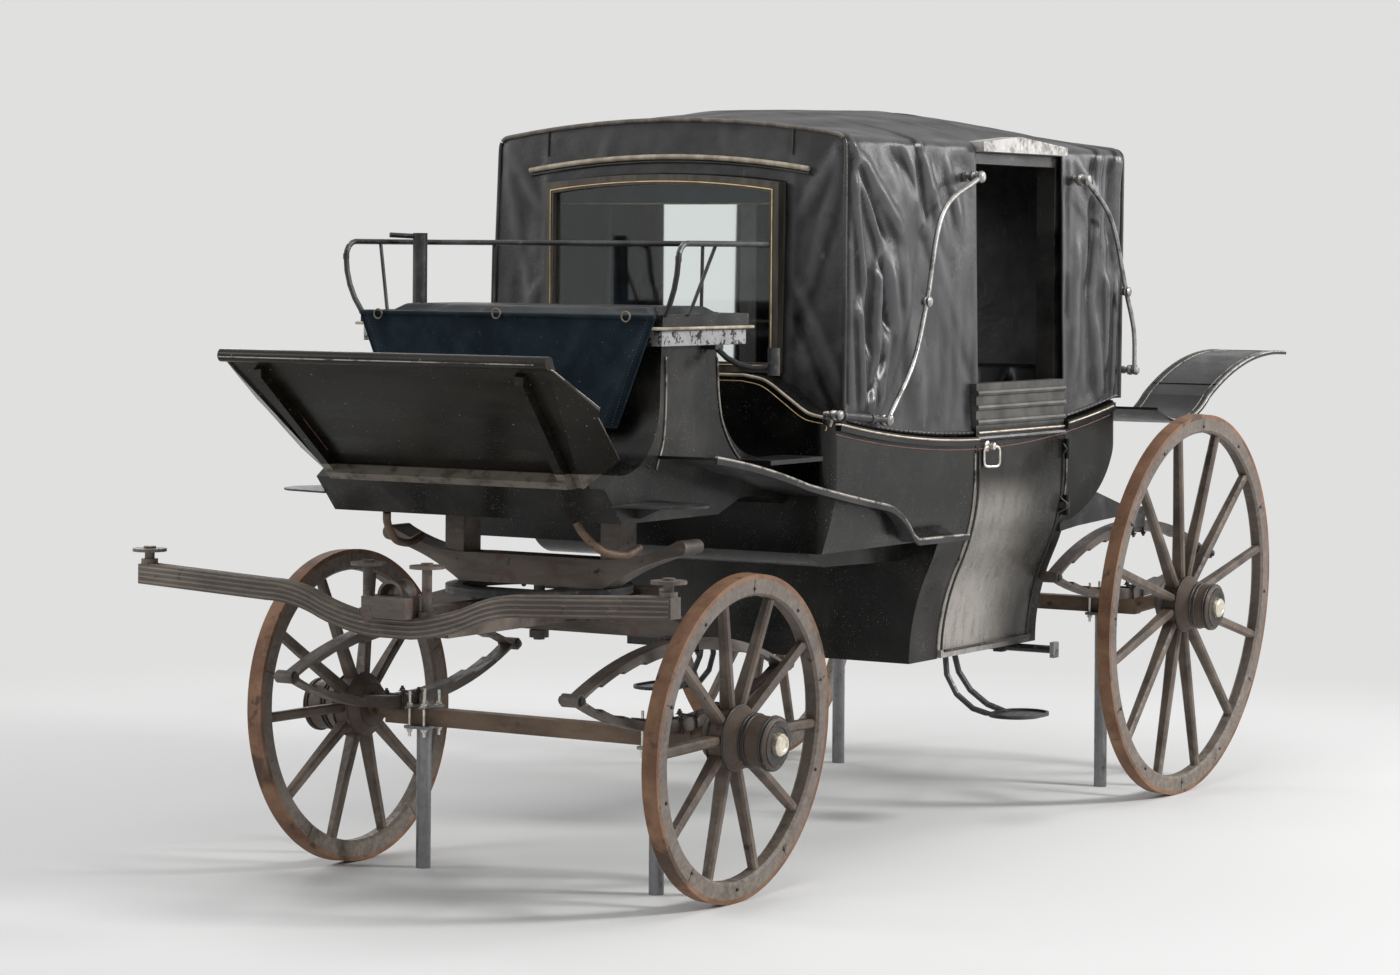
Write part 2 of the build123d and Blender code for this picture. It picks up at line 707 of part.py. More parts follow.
# Footboard: inclined board with a thick lip, a wing folded back at each side, two ribs and a ledge at its foot
lip_z = 1402
lip_radius = 17
lip_half = 509
board_thickness_low = 16
board_foot_z = boot_floor_z + 93
board_foot_y = toe_y
board_rise = lip_z - board_foot_z
board_run = board_foot_y - (nose_y + lip_radius)
board_length = math.hypot(board_rise, board_run)
board_plane = Plane(origin=(0, nose_y + lip_radius, lip_z), x_dir=(1, 0, 0),
                    z_dir=(0, board_rise / board_length, board_run / board_length))
rib_top_x = 420
rib_low_x = 372
rib_deep = 28


def on_board(x, along, behind):
    """Point on the footboard: across, down from the lip, and behind its front face."""
    return board_plane.from_local_coords(Vector(x, along, behind))


def flat_plate(points, thickness):
    """Plate through three or more points that lie nearly in one plane."""
    first = points[0]
    across = points[1] - first
    normal = across.cross(points[-1] - first)
    plane = Plane(origin=first, x_dir=across, z_dir=normal)
    local = [plane.to_local_coords(point) for point in points]
    return plane * extrude(outline([(point.X, point.Y) for point in local]), thickness)


board_face = outline([
    (-lip_half, 0), (lip_half, 0), (rib_low_x + 26, board_length), (-rib_low_x - 26, board_length),
])
footboard = board_plane * extrude(board_face, board_thickness_low)
footboard += rod((-lip_half, nose_y + lip_radius, lip_z), (lip_half, nose_y + lip_radius, lip_z), lip_radius)
wing_line = (
    # across, down from the lip, behind the board
    (lip_half - 14, 2, 4),
    (rib_low_x + 14, board_length - 4, 4),
    (rib_low_x + 105, board_length - 62, 96),
    (lip_half + 2, 236, 56),
    (lip_half + 22, 214, 52),
)
wing_plate = flat_plate([on_board(*row) for row in wing_line], 12)
rib_plate = flat_plate([
    on_board(rib_top_x, 40, -1), on_board(rib_low_x, board_length - 4, -1),
    on_board(rib_low_x, board_length - 4, -rib_deep), on_board(rib_top_x, 54, -rib_deep), on_board(rib_top_x, 40, -12),
], 26)
for wing_piece in (wing_plate, rib_plate):
    footboard += wing_piece
    footboard += mirror(wing_piece, about=Plane.YZ)
ledge = board_plane * Pos(0, board_length - 30, -17) * Box(2 * rib_low_x, 56, 36)
footboard += ledge
footboard -= boot
footboard &= block(-far, far, nose_y, 0, board_foot_z - 2, lip_z + 2 * lip_radius)
keep("footboard", footboard)

# Driver's steps: a pointed tread on a bracket at each side of the boot
step_y = front_axle_y - 228
step_z = boot_floor_z + 45
tread = along_z(outline([
    (boot_half, step_y - 120), (boot_half + 110, step_y - 100), (boot_half + 200, step_y, "via"),
    (boot_half + 110, step_y + 100), (boot_half, step_y + 120),
]), step_z, step_z + 5)
tread_web = along_y(outline([
    (boot_half, step_z), (boot_half, step_z - 34), (boot_half + 12, step_z - 34), (boot_half + 90, step_z),
]), step_y - 4, step_y + 4)
keep("driver_steps", pair(tread + tread_web))

# Lamp brackets: curved arm from the seat's underside to an open socket
lamp_x = seat_out_x + 146
lamp_y = front_axle_y + 142
lamp_z = 1355
lamp_height = 72
lamp_bore = 11
lamp_out = 16
socket = Pos(lamp_x, lamp_y, lamp_z) * Cylinder(lamp_out, lamp_height, align=(Align.CENTER, Align.CENTER, Align.MIN))
arm = bent_rod((lamp_x - lamp_out + 2, lamp_y, lamp_z + 20), (lamp_x - 90, lamp_y - 6, lamp_z + 22),
               (seat_out_x - 20, lamp_y - 20, seat_low_z - 6), 8)
arm += block(boot_half + soft_gap, seat_out_x - 8, lamp_y - 40, lamp_y, seat_low_z - 12, seat_low_z)
lamp = (arm & block(0, 700, lamp_y - 200, lamp_y + 200, 1200, seat_low_z)) + socket
lamp -= Pos(lamp_x, lamp_y, lamp_z - 1) * Cylinder(lamp_bore, lamp_height + 2, align=(Align.CENTER, Align.CENTER, Align.MIN))
keep("lamp_brackets", pair(lamp))

# Front mudguards: patent leather on an iron edge, from the boot back to a flat tread by the door
guard_out_x = boot_half + 170
guard_tread_x = side_x(quarter_floor_z) + 60
guard_wall = 8
guard_end_y = door_front_y - 90
guard_line = (
    # y, z, kind
    (front_axle_y - 130, 1152),
    (front_axle_y + 110, 1112, "via"),
    (front_axle_y + 340, 1058),
    (front_axle_y + 600, 1010, "via"),
    (front_axle_y + 770, 982),
    (front_axle_y + 868, 940, "via"),
    (front_axle_y + 920, 892),
    (front_axle_y + 950, 876),
    (guard_end_y, 872),
)
lower_line = [(p[0], p[1] - guard_wall) + tuple(p[2:]) for p in reversed(guard_line)]
guard_outline = outline(list(guard_line) + lower_line)
mudguard = along_x(guard_outline, boot_half + soft_gap, guard_out_x)
guard_lip = along_x(guard_outline, guard_out_x, guard_out_x + 8)
lip_drop = Pos(0, 0, -7)
mudguard += guard_lip + lip_drop * guard_lip
mudguard -= body_outer
mudguard -= front_quarters
box_platform = block(boot_half + soft_gap, boot_half + 125, front_axle_y + 225, cabin_front_y - soft_gap,
                     boot_floor_z + 130, boot_floor_z + 142)
box_platform -= mudguard
keep("front_mudguards", pair([mudguard, box_platform - boot]))

# Rear wings: paddle-shaped leather on an iron frame above each rear wheel
wing_in_x = 500
wing_out_x = 735
rear_wing_line = (
    (cabin_rear_y, 1205),
    (rear_axle_y + 60, 1160, "via"),
    (rear_axle_y + 240, 1230),
    (rear_axle_y + 480, 1322, "via"),
    (tail_y, 1356),
)
wing_lower = [(p[0], p[1] - guard_wall) + tuple(p[2:]) for p in reversed(rear_wing_line)]
wing = along_x(outline(list(rear_wing_line) + wing_lower), wing_in_x, wing_out_x)
keep("rear_wings", pair(wing))

# Hood irons: jointed stays outside the hood
iron_x = belt_half_width + 24
iron_radius = 8
knuckle_radius = 15
knuckle_sides = 16
iron_sets = (
    # top, bend, knuckle, bend, foot
    ((door_front_y - 26, 1896), (door_front_y - 250, 1790), (door_front_y - 342, 1540),
     (door_front_y - 420, 1370), (door_front_y - 563, 1217)),
    ((door_rear_y + 87, 1901), (door_rear_y + 265, 1780), (door_rear_y + 374, 1560),
     (door_rear_y + 430, 1440), (door_rear_y + 436, 1317)),
)
irons = []
for top, bend_high, knuckle, bend_low, foot in iron_sets:
    stay = bent_rod((iron_x,) + top, (iron_x,) + bend_high, (iron_x,) + knuckle, iron_radius)
    stay += bent_rod((iron_x,) + knuckle, (iron_x,) + bend_low, (iron_x,) + foot, iron_radius)
    for joint_y, joint_z in (top, knuckle, foot):
        reach = iron_x - 12 if (joint_y, joint_z) == knuckle else hood_x(joint_z) + soft_gap
        stay += rod((reach, joint_y, joint_z), (iron_x + 14, joint_y, joint_z), knuckle_radius, knuckle_sides)
    irons.append(stay)
prop_front = (iron_x, door_front_y - 840, 1239)
prop_rear = (iron_x,) + iron_sets[0][4]
irons[0] += rod(prop_front, prop_rear, iron_radius, bar_sides)
irons[0] += rod((belt_half_width + belt_proud, prop_front[1], prop_front[2]),
                (iron_x + 14, prop_front[1], prop_front[2]), knuckle_radius, knuckle_sides)
keep("hood_irons", pair(irons))

# Elliptic springs: two stepped packs of leaves, joined by rolled eyes
def spring_pack(half, rise, side, centre_z):
    """One pack in (Y, Z); side is 1 for the pack that arches up, -1 for the one below."""
    radius = (half * half + rise * rise) / (2 * rise)
    pack = None
    for leaf in range(leaf_count):
        reach = half * (1 - 0.2 * leaf)
        offset = leaf * leaf_thickness
        inner = radius - offset - leaf_thickness
        outer = radius - offset
        def at(r, y):
            return centre_z + side * (math.sqrt(r * r - y * y) - radius)
        leaf_face = outline([
            (-reach, at(outer, reach)), (0, at(outer, 0), "via"), (reach, at(outer, reach)),
            (reach, at(inner, reach)), (0, at(inner, 0), "via"), (-reach, at(inner, reach)),
        ])
        leaf_solid = along_x(leaf_face, -leaf_width / 2, leaf_width / 2)
        pack = leaf_solid if pack is None else pack + leaf_solid
    return pack


def elliptic_spring(half, low_z, eye_z, high_z):
    """Whole spring about (0, 0) in X and Y; the short leaves lie inside the ellipse."""
    spring = spring_pack(half, high_z - eye_z, 1, high_z)
    spring += spring_pack(half, eye_z - low_z, -1, low_z)
    for end in (-1, 1):
        eye = rod((-leaf_width / 2 - 4, end * half, eye_z), (leaf_width / 2 + 4, end * half, eye_z), spring_eye_radius)
        spring += eye
    return spring


front_spring_low_z = 434
front_spring_high_z = 672
rear_spring_low_z = 596
rear_spring_high_z = 838
front_spring = elliptic_spring(front_spring_half, front_spring_low_z, front_spring_eye_z, front_spring_high_z)
keep("front_springs", pair(Pos(front_spring_x, front_axle_y, 0) * front_spring))
rear_spring = elliptic_spring(rear_spring_half, rear_spring_low_z, rear_spring_eye_z, rear_spring_high_z)
keep("rear_springs", pair(Pos(rear_spring_x, rear_spring_y, 0) * rear_spring))


# Wheels: turned nave, tapered spokes set in a dish, felloes and an iron tyre
wheel_table = (
    # name, radius, tread, spokes, nave inner end, nave outer end, half track, axle y
    ("front", front_wheel_radius, 44, front_spoke_count, -78, 118, front_track_half, front_axle_y),
    ("rear", rear_wheel_radius, 41, rear_spoke_count, -80, 100, rear_track_half, rear_axle_y),
)
dish = 24
nave_radius = 84
cap_radius = 30
cap_reach = 17


def ring(inner, outer, low, high, chamfer_in=0):
    """Ring about the X axis."""
    profile = outline([
        (low, outer), (high, outer), (high, inner + chamfer_in), (high - chamfer_in, inner),
        (low + chamfer_in, inner), (low, inner + chamfer_in),
    ]) if chamfer_in else outline([(low, outer), (high, outer), (high, inner), (low, inner)])
    return revolve(profile, axis=Axis.X)


def spoke_solid(inner, outer, lean):
    """Eight-sided tapered spoke along +Z; it leans out by the dish."""
    sections = (
        # radius from the hub, half width around the wheel, half depth, offset out
        (inner, 12, 21, -lean),
        (inner + 0.45 * (outer - inner), 13, 16, -lean * 0.5),
        (outer, 13, 13, 0),
    )
    cut = 6
    faces = []
    for at_radius, half_wide, half_deep, out in sections:
        face = outline([
            (half_deep, half_wide - cut), (half_deep - cut, half_wide), (cut - half_deep, half_wide),
            (-half_deep, half_wide - cut), (-half_deep, cut - half_wide), (cut - half_deep, -half_wide),
            (half_deep - cut, -half_wide), (half_deep, cut - half_wide),
        ])
        faces.append(Pos(out, 0, at_radius) * face)
    return loft(faces, ruled=True)


def wheel_solid(radius, tread, spokes, nave_in, nave_out):
    rim_outer = radius - tyre_thickness
    rim_inner = rim_outer - felloe_depth
    half = tread / 2
    body = revolve(outline([
        (nave_in, 0), (nave_in, 58), (-dish - 24, nave_radius), (-dish + 28, nave_radius), (half + 16, 68),
        (nave_out - 6, 68), (nave_out, 62), (nave_out, cap_radius + 4), (nave_out - 6, cap_radius),
        (nave_out + cap_reach, cap_radius - 6), (nave_out + cap_reach, 0),
    ]), axis=Axis.X)
    body += ring(rim_inner, rim_outer, -half, half, 7)
    one = spoke_solid(nave_radius - 12, rim_inner + 6, dish)
    for number in range(spokes):
        body += Rot(360 * (number + 0.5) / spokes, 0, 0) * one
    bore = rod((nave_in - 1, 0, 0), (nave_out - 20, 0, 0), axle_arm_radius + wheel_running_gap)
    return body - bore


def wheel_place(radius, tread, half_track, axle_y):
    """Where a left wheel's own X axis lies: its outer end dips by the camber."""
    angle = math.radians(camber)
    centre_z = radius * math.cos(angle) + tread / 2 * math.sin(angle)
    centre_x = half_track + radius * math.sin(angle)
    return Pos(centre_x, axle_y, centre_z) * Rot(0, camber, 0)


for name, radius, tread, spokes, nave_in, nave_out, half_track, axle_y in wheel_table:
    place = wheel_place(radius, tread, half_track, axle_y)
    wheel = place * wheel_solid(radius, tread, spokes, nave_in, nave_out)
    tyre = place * ring(radius - tyre_thickness, radius, -tread / 2, tread / 2)
    keep(name + "_wheel_left", wheel)
    keep(name + "_wheel_right", mirror(wheel, about=Plane.YZ))
    keep(name + "_tyre_left", tyre)
    keep(name + "_tyre_right", mirror(tyre, about=Plane.YZ))


# Axles: square beam, cranked ends and round arms inside the naves
def axle_solid(radius, tread, half_track, axle_y, nave_in, nave_out, beam_z, beam_half, beam_height):
    place = wheel_place(radius, tread, half_track, axle_y)
    arm = place * rod((nave_in - 26, 0, 0), (nave_out - 22, 0, 0), axle_arm_radius)
    collar = place * rod((nave_in - 16, 0, 0), (nave_in - 2, 0, 0), 34)
    centre = place.position
    inner_x = centre.X + (nave_in - 20) * math.cos(math.radians(camber))
    inner_z = centre.Z - (nave_in - 20) * math.sin(math.radians(camber))
    crank = rod((beam_half - 8, axle_y, beam_z), (inner_x, axle_y, inner_z), beam_height / 2 - 1)
    beam = block(-beam_half, beam_half, axle_y - 22, axle_y + 22, beam_z - beam_height / 2, beam_z + beam_height / 2)
    left = arm + collar + crank
    return beam + left + mirror(left, about=Plane.YZ)


front_beam_height = 46
front_beam_z = front_spring_low_z - front_beam_height / 2
front_axle = axle_solid(front_wheel_radius, 44, front_track_half, front_axle_y, -78, 118, front_beam_z, front_spring_x + 42,
                        front_beam_height)
keep("front_axle", front_axle)
rear_beam_height = 46
rear_beam_z = rear_spring_low_z - rear_beam_height / 2
rear_axle = axle_solid(rear_wheel_radius, 41, rear_track_half, rear_axle_y, -80, 100, rear_beam_z, rear_spring_x + 45,
                       rear_beam_height)
keep("rear_axle", rear_axle)

# Museum stands: steel tubes clamped under the axles
def stand(x, y, beam_low):
    tube = rod((x, y, 0), (x, y, beam_low - 8), stand_radius)
    tube += block(x - 35, x + 35, y - 45, y + 45, beam_low - 8, beam_low)
    return tube


keep("front_stands", pair(stand(front_stand_x, front_axle_y, front_beam_z - front_beam_height / 2)))
keep("rear_stands", pair(stand(rear_stand_x, rear_axle_y, rear_beam_z - rear_beam_height / 2)))

# Forecarriage: lower bed on the springs, wheel plate, futchells, splinter bar and pole socket
lower_bed_low = front_spring_high_z
lower_bed_high = 770
plate_high = lower_bed_high + 10
bed_half = 475
lower_bed = along_y(outline([
    (-bed_half, lower_bed_low), (bed_half, lower_bed_low), (bed_half, lower_bed_low + 40), (260, lower_bed_high),
    (-260, lower_bed_high), (-bed_half, lower_bed_low + 40),
]), front_axle_y - 32, front_axle_y + 32)
lower_bed -= rod((0, front_axle_y, 500), (0, front_axle_y, 900), kingpin_radius + wheel_running_gap)
keep("lower_bed", lower_bed)
wheel_plate = Pos(0, front_axle_y, lower_bed_high) * Cylinder(250, 10, align=(Align.CENTER, Align.CENTER, Align.MIN))
wheel_plate -= Pos(0, front_axle_y, lower_bed_high - 1) * Cylinder(205, 12, align=(Align.CENTER, Align.CENTER, Align.MIN))
keep("wheel_plate_low", wheel_plate)
upper_plate_low = plate_high + steer_gap
upper_plate = Pos(0, front_axle_y, upper_plate_low) * Cylinder(250, 10, align=(Align.CENTER, Align.CENTER, Align.MIN))
upper_plate -= Pos(0, front_axle_y, upper_plate_low - 1) * Cylinder(205, 12, align=(Align.CENTER, Align.CENTER, Align.MIN))
keep("wheel_plate_high", upper_plate)
transom_low = upper_plate_low + 10
transom_mid_high = 868
transom_tip_z = 915
transom_half = 473
transom = along_y(outline([
    (-230, transom_low), (230, transom_low), (330, transom_low + 55, "via"), (transom_half, transom_tip_z - 25),
    (transom_half + 12, transom_tip_z, "via"), (transom_half - 20, transom_tip_z + 8),
    (330, transom_mid_high + 12, "via"), (180, transom_mid_high),
    (-180, transom_mid_high), (-330, transom_mid_high + 12, "via"), (-transom_half + 20, transom_tip_z + 8),
    (-transom_half - 12, transom_tip_z, "via"), (-transom_half, transom_tip_z - 25), (-330, transom_low + 55, "via"),
]), front_axle_y - 45, front_axle_y + 45)
for side in (-1, 1):
    transom += block(side * 250 - 30, side * 250 + 30, front_axle_y - 40, front_axle_y + 40, transom_mid_high - 20, boot_floor_z)
kingpin = rod((0, front_axle_y, lower_bed_low - 30), (0, front_axle_y, transom_low + 10), kingpin_radius)
kingpin += rod((0, front_axle_y, lower_bed_low - 24), (0, front_axle_y, lower_bed_low - 4), 26)
keep("transom", transom + kingpin)

splinter_y = front_axle_y - 634
splinter_half = 828
bar_high = 52
bar_deep = 46
bar_points = (
    (0, 700), (60, 700), (150, 714, "via"), (230, 738), (310, 765, "via"), (400, 774), (splinter_half, 794),
)
bar_upper = [(p[0], p[1] + bar_high) + tuple(p[2:]) for p in reversed(bar_points)]
half_bar = along_y(outline(list(bar_points) + bar_upper), splinter_y - bar_deep / 2, splinter_y + bar_deep / 2)
keep("splinter_bar", half_bar + mirror(half_bar, about=Plane.YZ))
bolt_sides = 16
bolts = []
for bolt_x, base_z in ((splinter_half - 20, 793 + bar_high), (92, 704 + bar_high)):
    for bolt_low, bolt_high, bolt_radius in ((base_z, 878, 13), (878, 886, 45), (886, 892, 16), (base_z, base_z + 14, 22)):
        piece = rod((bolt_x, splinter_y, bolt_low), (bolt_x, splinter_y, bolt_high), bolt_radius, bolt_sides)
        bolt = piece if bolt_low == base_z and bolt_high == 878 else bolt + piece
    bolts.append(bolt - half_bar)
keep("roller_bolts", pair(bolts))
futchell_half_x = 120
futchell = block(futchell_half_x - 22, futchell_half_x + 22, splinter_y + bar_deep / 2, front_axle_y - 32, 704, 748)
futchell += block(futchell_half_x - 22, futchell_half_x + 22, front_axle_y + 32, front_axle_y + 330, 704, 748)
keep("futchells", pair(futchell))
keep("sway_bar", block(-200, 200, front_axle_y + 280, front_axle_y + 320, 748, 768))
socket_block = block(-68, 68, splinter_y - 60, splinter_y + 60, 752, 806)
socket_block -= half_bar
socket_block -= mirror(half_bar, about=Plane.YZ)
strap = along_y(outline([(-40, 806), (0, 846, "via"), (40, 806), (32, 806), (0, 838, "via"), (-32, 806)]),
                splinter_y - 30, splinter_y + 30)
keep("pole_socket", socket_block + strap)

# Rear body irons: pump handles from the cabin's rounded corner to the tops of the rear springs
clip_height = 24
handle_thick = 24
handle_seat_z = rear_spring_high_z + clip_height
handle_reach = 70
handle_outline = outline([
    (door_rear_y + 20, quarter_floor_z), (door_rear_y + 20, quarter_floor_z - handle_thick),
    (door_rear_y + 140, quarter_floor_z - 14), (rear_spring_y - handle_reach, handle_seat_z),
    (rear_spring_y + handle_reach, handle_seat_z), (rear_spring_y + handle_reach, handle_seat_z + handle_thick - 6),
    (rear_spring_y - handle_reach, handle_seat_z + handle_thick), (door_rear_y + 240, quarter_floor_z + 90),
])
pump = along_x(handle_outline, rear_spring_x - 22, rear_spring_x + 22) - body_outer
clip = block(rear_spring_x - 28, rear_spring_x + 28, rear_spring_y - 50, rear_spring_y + 50,
             rear_spring_high_z - 20, handle_seat_z)
keep("rear_body_irons", pair((pump + clip) - Pos(rear_spring_x, rear_spring_y, 0) * rear_spring))

# Passenger steps: two curved stems and an oval tread below each door
tread_x = sill_half_width + 140
tread_y = door_front_y + 250
tread_z = 320
tread_half_wide = 75
tread_half_long = 104
tread_rim = 7
step_stems = None
for stem_shift in (-45, 45):
    stem = bent_rod((sill_half_width - 60, tread_y + stem_shift * 0.6 - 60, well_floor_z),
                    (sill_half_width - 30, tread_y + stem_shift - 40, 390),
                    (tread_x - 60, tread_y + stem_shift, tread_z), 9)
    step_stems = stem if step_stems is None else step_stems + stem
oval_face = outline([
    (tread_half_wide, -tread_half_long + tread_half_wide), (tread_half_wide, tread_half_long - tread_half_wide),
    (0, tread_half_long, "via"), (-tread_half_wide, tread_half_long - tread_half_wide),
    (-tread_half_wide, -tread_half_long + tread_half_wide), (0, -tread_half_long, "via"),
])
oval = Pos(tread_x, tread_y, tread_z) * extrude(oval_face, 10)
oval -= Pos(tread_x, tread_y, tread_z + 4) * extrude(offset(oval_face, -tread_rim), 10)
foot = (step_stems & block(0, 900, -900, 900, tread_z, well_floor_z)) + oval
keep("passenger_steps", pair(foot))

# Brake shafts and shoes ahead of the rear wheels
shaft_y = rear_axle_y - 510
shaft_z = well_floor_z - 20
shaft_half = sill_half_width + 80
hanger_x = sill_half_width - 100
shaft = rod((-shaft_half, shaft_y, shaft_z), (shaft_half, shaft_y, shaft_z), 12, bar_sides)
for side in (-1, 1):
    shaft += block(side * hanger_x - 15, side * hanger_x + 15, shaft_y - 16, shaft_y + 16, shaft_z - 16, well_floor_z)
keep("brake_shaft", shaft)

if __name__ == "__main__":
    os.makedirs("parts", exist_ok=True)
    for node_name, node_solids in nodes.items():
        export_step(Compound(node_solids), "parts/" + node_name + ".step")
        print(node_name, len(node_solids))
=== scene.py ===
import math
import bmesh
import bpy
import numpy as np
from mathutils import Matrix, Vector, noise
from mathutils.bvhtree import BVHTree


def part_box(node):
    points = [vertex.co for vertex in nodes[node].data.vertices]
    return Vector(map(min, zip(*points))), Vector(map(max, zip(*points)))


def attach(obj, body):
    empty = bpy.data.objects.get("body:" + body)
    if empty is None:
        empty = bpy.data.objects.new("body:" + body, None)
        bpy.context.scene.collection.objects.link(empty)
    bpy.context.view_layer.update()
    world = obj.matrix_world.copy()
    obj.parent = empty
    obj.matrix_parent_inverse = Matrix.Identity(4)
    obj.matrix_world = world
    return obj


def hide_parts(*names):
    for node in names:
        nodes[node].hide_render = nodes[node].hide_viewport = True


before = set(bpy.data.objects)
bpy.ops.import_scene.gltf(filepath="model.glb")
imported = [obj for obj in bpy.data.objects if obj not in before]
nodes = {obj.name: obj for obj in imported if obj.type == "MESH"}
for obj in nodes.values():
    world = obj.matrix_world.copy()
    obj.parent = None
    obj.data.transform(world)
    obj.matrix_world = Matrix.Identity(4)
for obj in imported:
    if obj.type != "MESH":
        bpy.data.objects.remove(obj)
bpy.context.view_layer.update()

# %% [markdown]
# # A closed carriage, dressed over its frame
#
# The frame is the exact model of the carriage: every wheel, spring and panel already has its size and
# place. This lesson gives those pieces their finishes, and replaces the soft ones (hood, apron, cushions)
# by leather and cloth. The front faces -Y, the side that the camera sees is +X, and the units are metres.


def corner(node):
    """Lowest and highest corner of a frame node."""
    a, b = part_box(node)
    return Vector(a), Vector(b)


# %% [markdown]
# ## The camera
#
# The photograph was taken from ahead of the carriage's left wheel, at eye height. Its verticals stay
# upright, so the camera looks level and the lens is shifted down instead of tilted. A long lens at eleven
# metres keeps the near wheel from swelling.

# %% Camera
photo_width = 1400
photo_focal_px = 3722.4
horizon_above_centre_px = 245.5
camera_place = (5.586, -9.4755, 1.681)
camera_yaw = math.radians(31.857)
camera_pitch = math.radians(0.12)
camera_roll = math.radians(0.40)

camera_data = bpy.data.cameras.new("camera")
camera_data.sensor_width = 36
camera_data.lens = camera_data.sensor_width * photo_focal_px / photo_width
camera_data.shift_y = -horizon_above_centre_px / photo_width
camera = bpy.data.objects.new("camera", camera_data)
bpy.context.scene.collection.objects.link(camera)
forward = Vector((-math.sin(camera_yaw) * math.cos(camera_pitch),
                  math.cos(camera_yaw) * math.cos(camera_pitch), math.sin(camera_pitch)))
level_right = Vector((math.cos(camera_yaw), math.sin(camera_yaw), 0))
level_up = level_right.cross(forward)
right = level_right * math.cos(camera_roll) + level_up * math.sin(camera_roll)
up = right.cross(forward)
turn = Matrix((right, up, -forward)).transposed()
camera.matrix_world = Matrix.Translation(camera_place) @ turn.to_4x4()
bpy.context.scene.camera = camera
print("lens", round(camera_data.lens, 1), "mm")

# %% [markdown]
# ## A bench for mixing finishes
#
# Every finish below is a small tree of nodes that reads the surface's own coordinates. Writing each node
# out by hand hides the idea, so one short class keeps the calls readable: `grain` is a noise, `cells` a
# cracked pattern, `band` turns a value into a 0-1 mask, `blend` lays one colour over another by a mask, and
# `wash` does both at once.

# %% The bench
class Finish:
    """A node material under construction; sockets are passed from call to call."""

    def __init__(self, name, rough=0.5, metal=0.0, **sockets):
        self.material = bpy.data.materials.new(name)
        self.material.use_nodes = True
        self.tree = self.material.node_tree
        self.shader = self.tree.nodes["Principled BSDF"]
        self.shader.inputs["Roughness"].default_value = rough
        self.shader.inputs["Metallic"].default_value = metal
        for socket, value in sockets.items():
            self.shader.inputs[socket.replace("_", " ")].default_value = value
        self.place = self.tree.nodes.new("ShaderNodeTexCoord").outputs["Object"]

    def put(self, socket, value):
        if isinstance(value, bpy.types.NodeSocket):
            self.tree.links.new(value, socket)
        elif isinstance(value, tuple) and len(value) == 3 and socket.type == "RGBA":
            socket.default_value = value + (1,)
        else:
            socket.default_value = value

    def node(self, kind, inputs=None, **settings):
        made = self.tree.nodes.new("ShaderNode" + kind)
        for key, value in settings.items():
            setattr(made, key, value)
        for key, value in (inputs or {}).items():
            self.put(made.inputs[key], value)
        return made

    def moved(self, scale=(1, 1, 1), shift=(0, 0, 0)):
        return self.node("Mapping", {"Vector": self.place, "Scale": scale, "Location": shift}).outputs[0]

    def grain(self, scale, detail=4, rough=0.55, vector=None):
        inputs = {"Vector": vector or self.place, "Scale": scale, "Detail": detail, "Roughness": rough}
        return self.node("TexNoise", inputs).outputs["Fac"]

    def cells(self, scale, feature):
        made = self.node("TexVoronoi", {"Vector": self.place, "Scale": scale}, feature=feature)
        return made.outputs["Distance"]

    def band(self, value, start, end, to_min=0.0, to_max=1.0):
        made = self.node("MapRange", {"Value": value, "From Min": start, "From Max": end, "To Min": to_min,
                                      "To Max": to_max}, interpolation_type="SMOOTHSTEP")
        return made.outputs["Result"]

    def math(self, operation, first, second=0.0):
        return self.node("Math", {0: first, 1: second}, operation=operation).outputs[0]

    def times(self, first, second):
        return self.math("MULTIPLY", first, second)

    def axis(self, letter):
        return self.node("SeparateXYZ", {"Vector": self.place}).outputs[letter]

    def blend(self, mask, under, over):
        """Lay one colour over another; sockets 6 and 7 and output 2 are the mix node's colours."""
        return self.node("Mix", {0: mask, 6: under, 7: over}, data_type="RGBA").outputs[2]

    def wash(self, under, over, value, start, end, amount=1.0):
        """Lay one colour over another where the value lies past start, in full at end."""
        mask = self.band(value, start, end)
        if amount != 1.0:
            mask = self.times(mask, amount)
        return self.blend(mask, under, over)

    def attribute(self, name):
        return self.node("Attribute", attribute_name=name).outputs["Fac"]

    def colour(self, value):
        self.put(self.shader.inputs["Base Color"], value)

    def rough(self, value):
        self.put(self.shader.inputs["Roughness"], value)

    def metal(self, value):
        self.put(self.shader.inputs["Metallic"], value)

    def bump(self, *layers):
        """Layers of (height, depth in metres, strength), laid one on another."""
        normal = None
        for height, depth, strength in layers:
            made = self.node("Bump", {"Height": height, "Distance": depth, "Strength": strength})
            if normal is not None:
                self.put(made.inputs["Normal"], normal)
            normal = made.outputs["Normal"]
        self.put(self.shader.inputs["Normal"], normal)


# %% [markdown]
# ## Floor and light
#
# Black leather and lacquer read best against a pale floor that fades into a pale backdrop. Broad, soft
# lamps stand where the photograph's light comes from: the carriage's left side is bright and its front is
# dim.

# %% Studio
scene = bpy.context.scene
scene.view_settings.view_transform = "Standard"
paper_white = (0.80, 0.80, 0.79)
backdrop_white = (0.745, 0.745, 0.74)
floor_reach = 60
fade_from, fade_to = 2.5, 4.8


def floor_paper():
    """Pale paper that turns into the backdrop's own glow a few metres out."""
    f = Finish("floor_paper", 0.95)
    f.colour(paper_white)
    glow = f.node("Emission", {"Color": backdrop_white}).outputs["Emission"]
    distance = f.node("VectorMath", {0: f.place}, operation="LENGTH").outputs["Value"]
    fade = f.band(distance, fade_from, fade_to)
    surface = f.node("MixShader", {0: fade, 1: f.shader.outputs["BSDF"], 2: glow}).outputs["Shader"]
    f.put(f.tree.nodes["Material Output"].inputs["Surface"], surface)
    return f.material


